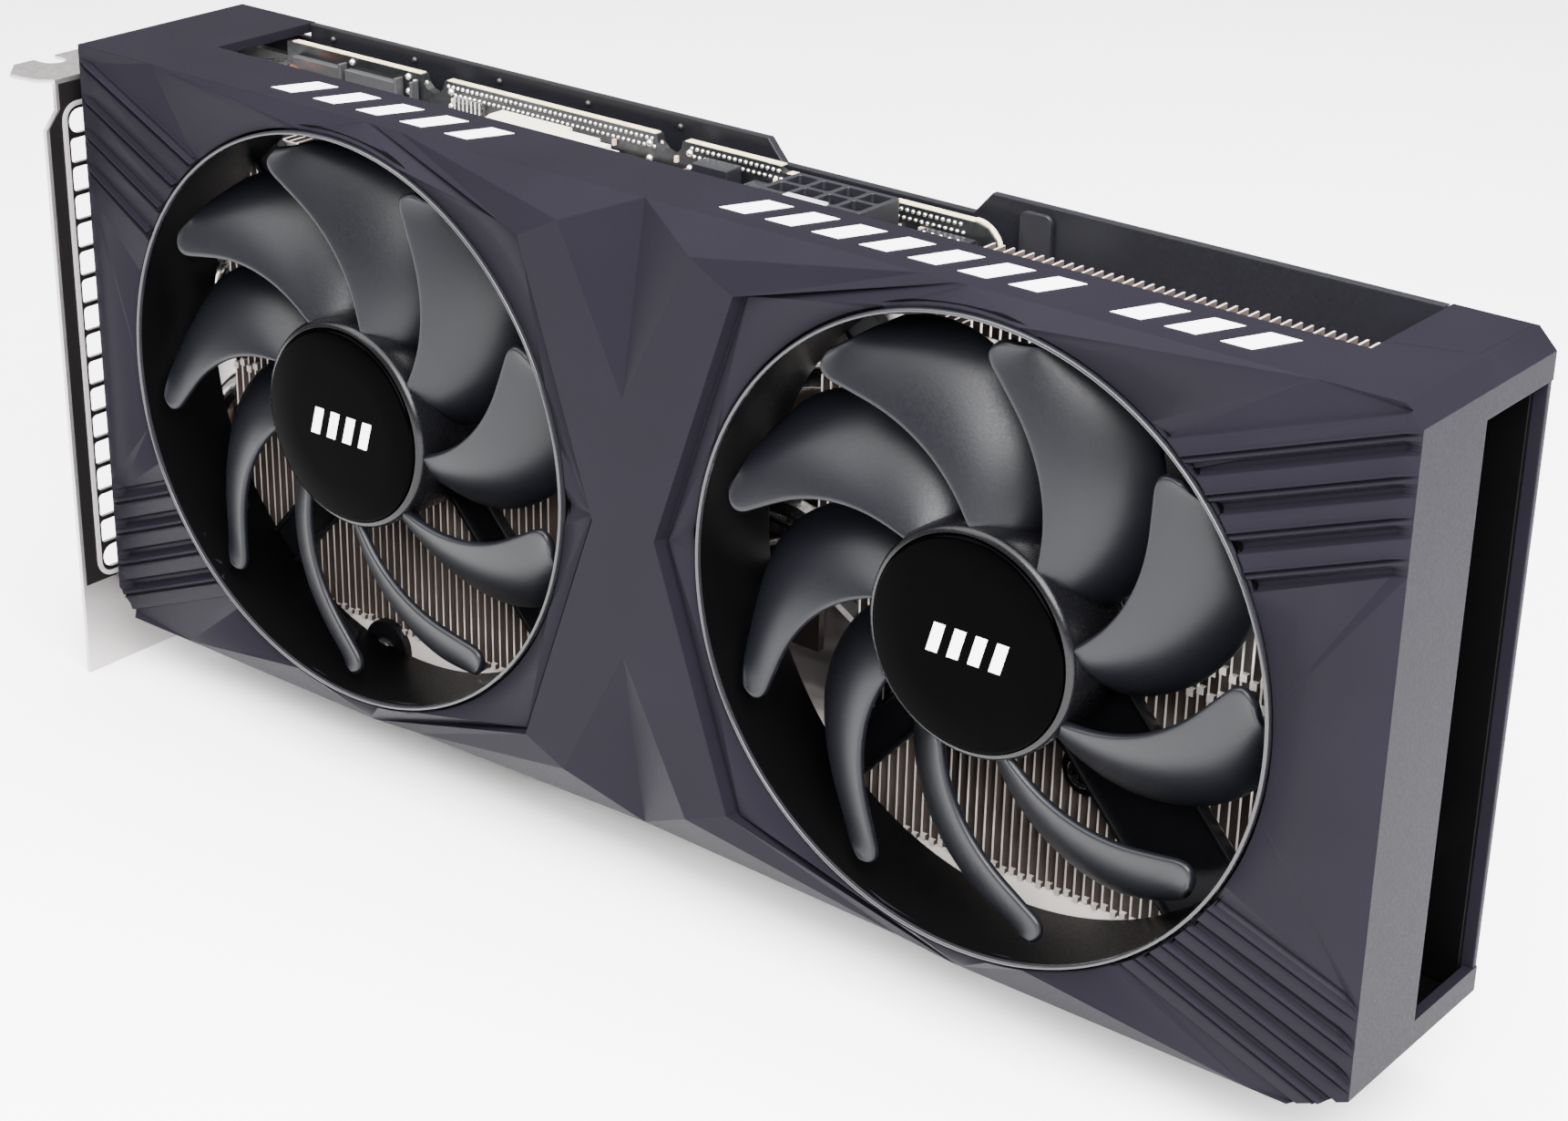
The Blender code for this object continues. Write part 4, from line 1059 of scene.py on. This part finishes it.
def build_board_details():
    tops = [(19.2, 49.0, 96.5), (55.0, 99.0, 96.5), (105.0, 123.6, 96.5), (124.6, 158.6, 95.5)]
    spans = [((a, BOARD_FRONT + 0.1, z - 0.1), (b, BOARD_BACK - 0.1, z + 0.14)) for a, b, z in tops]
    boxes("board_top_edge", spans, "board_edge", 0.05, slot="board_laminate")
    for k, x in enumerate(NOTCHES_X):
        points = [(px, 30.2, pz) for px, pz in arc((x, 96.0), 2.7, 195, 345, 9)]
        tube(f"board_notch_edge_{k + 1}", points, 0.42, "board_edge", slot="board_laminate")
    points = [(px, 30.2, pz) for px, pz in arc((158.6, 91.2), 4.4, 90, 0, 7)]
    tube("board_corner_edge", [*points, (163, 30.2, 84)], 0.42, "board_edge", slot="board_laminate")
    rows = []
    for z, start in ((95.7, 55.4), (94.5, 55.9)):
        rows += [(start + 1.05 * k, BOARD_FRONT, z) for k in range(42)]
        rows += [(start + 51 + 1.05 * k, BOARD_FRONT, z) for k in range(17)]
        rows += [(start + 70.5 + 1.05 * k, BOARD_FRONT, z - 1.0) for k in range(30)]
    beads("board_pins", rows, 0.34, "solder", slot="board_laminate")
    dots = [(x, BOARD_FRONT, z) for x in (33.5, 46.4) for z in (95.6, 93.2, 90.6)]
    dots += [(x + side, BOARD_FRONT, 93.5 + up) for x in NOTCHES_X for side in (-4, 4)
             for up in (-1, 1.4)]
    beads("board_pads", dots, 0.62, "solder", slot="board_laminate")
    spans = [((x - 0.45, 27.6, 70), (x + 0.1, BOARD_FRONT, 95.4)) for x in (32.2, 45.1, 48.6)]
    spans += [((a, 27.9, 74), (b, BOARD_FRONT, 94.6)) for a, b in ((20.5, 31.6), (33.0, 44.6))]
    boxes("board_modules", spans, "chip", 0.15, slot="chip_package")
    spans = []
    for k in range(70):
        x = rng.uniform(54, 160)
        z = rng.uniform(86.5, 93.6)
        wide, tall = rng.choice(((1.0, 0.5), (0.5, 1.0), (1.6, 0.8)))
        spans.append(((x, 28.75, z), (x + wide, BOARD_FRONT, z + tall)))
    boxes("board_small_parts", spans, "ceramic", 0.06, slot="chip_package")
    spans = [((57.4, 28.4, 90.8), (63.0, BOARD_FRONT, 94.0)), ((109.8, 25.2, 88.5), (116.6, 28.9, 95.2)),
             ((119.0, 26.0, 88), (123.0, 29, 93.6))]
    boxes("board_chips", spans, "housing", 0.2, slot="connector_plastic")
    legs = [((57.6 + 0.9 * k, 28.2, 90.2), (58.0 + 0.9 * k, BOARD_FRONT, 94.6)) for k in range(7)]
    boxes("board_chip_legs", legs, "solder", 0.04, slot="chip_package")
    plate = [(73, 18), (99.5, 18), (99.5, 20.6), (96.4, 20.6), (96.4, 22.2), (93.0, 22.2), (93.0, 23.6),
             (86, 23.6), (86, 25.0), (71.4, 25.0), (71.4, 22)]
    sheet("pale_plate", [plate], 1.0, 0.12, "pale_pad", lying(95.4), slot="frame_aluminium")
    boxes("teal_part", [((112.6, 28.5, 91.6), (114.4, BOARD_FRONT, 93.2))], "wire_blue", 0.1,
          slot="chip_package")


def build_gold_fingers():
    spans = []
    for k in range(82):
        x = 47.6 + 1.0 * k
        if 56.6 < x < 60.4:
            continue
        for y in (BOARD_FRONT - 0.03, BOARD_BACK):
            spans.append(((x, y, -14.0), (x + 0.68, y + 0.03, -8.4)))
    boxes("edge_contacts", spans, "gold", 0, slot="copper")


def build_power_socket():
    centres = [(132.6 + 4.4 * i, 18.5 + 4.4 * j) for i in range(4) for j in range(2)]
    holes = [rounded(x - 1.8, x + 1.8, y - 1.8, y + 1.8, 0.5, 4) for x, y in centres]
    outer = rounded(130.0, 148.4, 15.8, 25.6, 0.5, 4)
    sheet("power_socket_body", [outer, *holes], 10.8, 0.18, "housing", lying(92.4),
          slot="connector_plastic", stands_for="power_socket")
    boxes("power_socket_floor", [((130, 15.8, 85), (148.4, 25.6, 87.2))], "housing", 0.2,
          slot="connector_plastic")
    spans = [((x - 0.5, y - 0.5, 87), (x + 0.5, y + 0.5, 94.6)) for x, y in centres]
    boxes("power_socket_pins", spans, "gold", 0.12, slot="copper")
    spans = [((135.2, 14.9, 93.6), (142.6, 16.4, 98.1)), ((135.2, 14.3, 96.6), (142.6, 15.0, 98.1))]
    boxes("power_socket_latch", spans, "housing_grey", 0.2, slot="connector_plastic")
    spans = [((152 + 2.1 * k, 22.6, 88), (153.3 + 2.1 * k, 23.6, 94.2)) for k in range(4)]
    spans.append(((150.8, 23.4, 90), (159.6, 28.8, 93.2)))
    boxes("header_housing", spans, "housing", 0.15, slot="connector_plastic")
    spots = [(152.2 + 1.5 * k, y, 93.3) for k in range(5) for y in (24.4, 26.2)]
    beads("header_pins", spots, 0.36, "solder", slot="connector_plastic")


# --- Backplate ---


def build_backplate():
    under = TOP_Z - 2.5
    edge = [(6, 3.2), (12, -1.8), (233, -1.8), (239, 3.2), (239, under), (229.7, under), (229.7, TOP_Z)]
    edge += [(158, TOP_Z), (155, 95), (120, 95), (117, TOP_Z), (18.3, TOP_Z), (18.3, under), (6, under)]
    slots = [rounded(178 + 9 * k, 182.5 + 9 * k, 18, 80, 1.6, 5) for k in range(6)]
    holes = [arc((108 + a, 48.6 + b), 3.3, 0, 345, 24) for a in (-28, 28) for b in (-28, 28)]
    sheet("backplate_sheet", [edge, *slots, *holes], 1.6, 0.3, "backplate", facing_front(35.2),
          slot="backplate_metal", stands_for="backplate")
    tab = rounded(163.6, 169.0, 86, 97.4, 1.2, 5)
    sheet("backplate_tab", [tab], 0.9, 0.15, "housing", facing_front(33.8), slot="backplate_metal")
    spots = [(24 + 19 * k, 34.3, TOP_Z - 1.6) for k in range(5)]
    beads("backplate_rivets", spots, 0.5, "screw_black", slot="backplate_metal")


# --- Shroud details ---

MARK_Y = (3.6, 10.6)
MARK_LEAN = 3.2


def build_marks():
    """Plain slanting bars on the top face, in place of printing."""
    shape = bmesh.new()
    groups = ((42.0, 5, 9.4), (133.0, 7, 8.2), (198.0, 3, 8.2))
    for start, count, pitch in groups:
        for k in range(count):
            low = (start + pitch * k, MARK_Y[0])
            slant_bar(shape, low, (low[0] + 4.0, MARK_Y[1]), MARK_LEAN, TOP_Z)
    for vert in shape.verts:
        vert.co = world(*vert.co) + Vector((0, 0, 0.00002))
    obj = piece("top_marks", shape, "mark", "shroud_plastic")
    thicken(obj, 0.05)


def build_end_frame():
    """The far end's rear edge and the top's raised corner panels."""
    edge = [(230.2, -4.0), (236.0, -4.0), (244.9, 0.2), (244.9, 95.2), (239.4, 95.2), (239.4, 1.2),
            (230.2, 1.2)]
    sheet("shroud_rear_edge", [edge], 1.2, 0.2, "shroud", facing_front(35.4), slot="shroud_plastic")
    # Near-black boxes at the back and the floor of the far end: painted shade, so the end opening reads
    # dark
    spans = [((230.4, 33.6, 1), (243.2, 34.6, 94)), ((231, 16, -0.3), (243.2, 34.6, 0.6))]
    boxes("shroud_end_painted_shadow", spans, "bore_black", 0.1, slot="shroud_plastic")
    panel = [(230.3, 17.4), (241.2, 21.4), (241.8, 35.8), (230.3, 35.8)]
    sheet("corner_panel_right", [panel], 0.6, 0.15, "shroud", lying(TOP_Z - 0.2), slot="shroud_plastic")


# --- Fan mounts, screws and wires ---

ARM_ANGLES = (48, 132, 228, 312)
# Half the width of the arms that are not of the usual width
ARM_HALF = {("right", 48): 5.6, ("right", 312): 8.0, ("right", 228): 3.4}


def oblong_into(shape, low, high, turn):
    """A box in fan-local millimetres, placed by a matrix."""
    made = bmesh.ops.create_cube(shape, size=1)["verts"]
    low = Vector(low) * MM
    high = Vector(high) * MM
    bmesh.ops.scale(shape, vec=high - low, verts=made)
    bmesh.ops.translate(shape, vec=(low + high) / 2, verts=made)
    bmesh.ops.transform(shape, matrix=turn, verts=made)


def build_mount(side):
    shape = bmesh.new()
    for angle in ARM_ANGLES:
        half = ARM_HALF.get((side, angle), 3.6)
        turn = fan_matrix(side) @ Matrix.Rotation(math.radians(angle), 4, "Z")
        oblong_into(shape, (11, -half, -13.7), (53.4, half, -12.4), turn)
        for low, high in ((-half, -half + 0.8), (half - 0.8, half)):
            oblong_into(shape, (14, low, -13), (53, high, -11.6), turn)
    obj = piece(f"fan_arms_{side}", shape, "strut", "fan_plastic", stands_for=f"fan_{side}_mount")
    bevel(obj, 0.25)
    disc = [(0, -12.3), (12.4, -12.3), (13, -12.8), (13, -13.6), (0, -13.6)]
    lathe(f"fan_seat_{side}", disc, 64, "strut", fan_matrix(side), slot="fan_plastic")


# The X and Z of the two bright screws
COOLER_SCREWS = ((192.7, 25.7), (75.9, 36.7))


def build_screws():
    for k, (x, z) in enumerate(COOLER_SCREWS):
        cross_screw(f"cooler_screw_{k + 1}", x, 13.6, z, 2.5, "screw")
    cross_screw("cooler_screw_3", 53.5, 12.6, 0.6, 2.3, "screw_black")
    foot = [*arc((53.5, 1.2), 4.8, 0, 180, 15), (48.7, -3.4), (58.3, -3.4)]
    sheet("fan_foot", [foot], 1.6, 0.25, "strut", facing_front(13.4), slot="fan_plastic")
    seat = [(0, 0), (3.9, 0), (3.9, 0.6), (3.4, 0.9), (0, 0.9)]
    for k, (x, z) in enumerate(COOLER_SCREWS):
        lathe(f"cooler_screw_seat_{k + 1}", seat, 32, "strut", facing_front(14.2, x, z),
              slot="fan_plastic")


WIRE_ROUTES = {
    "right": [(176.4, 11.9, 62.8), (167, 11.8, 65.4), (158.5, 11.7, 67.6), (153.8, 11.9, 70.6),
              (152.0, 12.8, 77), (154.6, 15, 86), (156.5, 23.1, 89.5)],
    "left": [(75.4, 11.9, 56.6), (85.5, 11.8, 67.8), (95.5, 12.2, 78.6), (112, 13.5, 81.6),
             (134, 15, 81.8), (143, 17, 81.2), (148.6, 18.6, 82.4), (149.6, 20.4, 86),
             (150.8, 22, 88.2), (152.6, 23.1, 88.4)],
}


def build_wires():
    for side, route in WIRE_ROUTES.items():
        for k, look in enumerate(("wire_yellow", "wire_blue", "wire_black")):
            shift = 1.0 * (k - 1)
            points = [(x + 0.3 * shift, y - 0.1 * shift, z + shift) for x, y, z in route]
            tube(f"fan_wire_{side}_{k + 1}", points, 0.45, look, slot="cable_jacket",
                 stands_for=None if k else f"fan_{side}_cable")


# --- Camera, light and floor ---

CAMERA_PLACE = (395.6, -316.1, 231.9)
CAMERA_TURN = (38.0, 24.4, 1.18)
CAMERA_LENS = 70.8


def look_matrix(place, azimuth, elevation, roll):
    """A camera's matrix from its place in metres and its angles in degrees."""
    a, e, r = (math.radians(v) for v in (azimuth, elevation, roll))
    back = Vector((math.sin(a) * math.cos(e), -math.cos(a) * math.cos(e), math.sin(e)))
    right = Vector((0, 0, 1)).cross(back).normalized()
    up = back.cross(right)
    turned = (right * math.cos(r) + up * math.sin(r), up * math.cos(r) - right * math.sin(r))
    columns = Matrix((turned[0], turned[1], back)).transposed()
    return Matrix.Translation(place) @ columns.to_4x4()


def build_camera():
    data = bpy.data.cameras.new("camera")
    data.sensor_width = 36.0
    data.lens = CAMERA_LENS
    data.clip_start = 0.01
    data.clip_end = 20
    obj = linked("camera", data)
    obj.matrix_world = look_matrix(world(*CAMERA_PLACE), *CAMERA_TURN)
    bpy.context.scene.camera = obj


def area_light(name, place, target, size, power):
    """A white lamp at one card point that shines at another; its size is in metres."""
    data = bpy.data.lights.new(name, "AREA")
    data.shape = "RECTANGLE"
    data.size = size[0]
    data.size_y = size[1]
    data.energy = power
    obj = linked(name, data)
    place = world(*place)
    aim = place - world(*target)
    obj.matrix_world = Matrix.Translation(place) @ aim.to_track_quat("Z", "Y").to_matrix().to_4x4()


def build_light():
    backdrop = bpy.data.worlds.new("studio")
    backdrop.use_nodes = True
    sky = backdrop.node_tree.nodes["Background"].inputs
    sky["Color"].default_value = (1, 1, 1, 1)
    sky["Strength"].default_value = 0.62
    bpy.context.scene.world = backdrop
    area_light("key", (520, -300, 420), (245, 0, 60), (0.5, 0.4), 24)
    area_light("left", (-330, -480, 560), (183, 0, 60), (0.5, 0.4), 8)
    area_light("top", (200, -60, 950), (122, 10, 50), (1.5, 1.1), 76)
    area_light("rim", (1000, 620, 160), (245, 20, 50), (0.7, 0.5), 16)


def build_floor():
    low = min(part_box(name)[0][2] for name in ("io_bracket", "circuit_board"))
    shape = bmesh.new()
    bmesh.ops.create_grid(shape, x_segments=1, y_segments=1, size=4)
    bmesh.ops.translate(shape, vec=(0, 0, low), verts=shape.verts)
    mesh = mesh_from("floor", shape)
    mesh.materials.append(LOOKS["floor"])
    floor = linked("floor", mesh)


# --- CAD pieces that stay ---


# The look of each CAD node: the first entry found in its name counts
CAD_LOOKS = (
    ("backplate_screw", "screw_black"), ("bracket_screw", "screw"), ("backplate", "backplate"),
    ("bracket", "nickel"), ("displayport", "nickel"), ("hdmi", "nickel"), ("board", "board"),
    ("substrate", "chip"), ("memory_chip", "chip"), ("gpu_die", "silicon"), ("capacitor", "can"),
    ("choke", "ferrite"), ("power_socket", "housing"), ("fan_header", "housing"),
    ("cold_plate", "plate_dark"), ("heat_pipe", "plated"), ("heatsink_frame", "frame"),
    ("fin_stack", "fin"), ("shroud", "shroud"), ("bearing", "bronze"), ("cable", "wire_black"),
    ("_cap", "cap"), ("magnet", "magnet"), ("mount", "strut"), ("rotor", "blade"),
    ("shaft", "screw"), ("stator", "copper"),
)


def dress_cad():
    """Gives every CAD node its finished material."""
    for name, obj in frame["nodes"].items():
        look = next(look for part, look in CAD_LOOKS if part in name)
        obj.data.materials.clear()
        obj.data.materials.append(LOOKS[look])


build_camera()
build_light()
build_floor()
dress_cad()
build_shroud()
build_rings()
build_end_frame()
build_marks()
build_fins()
build_pipe_bends()
build_bracket()
build_board_details()
build_gold_fingers()
build_power_socket()
build_backplate()
build_screws()
build_wires()
for side in FANS:
    build_mount(side)
    build_blades(side)
    build_hub(side)

bpy.context.view_layer.update()
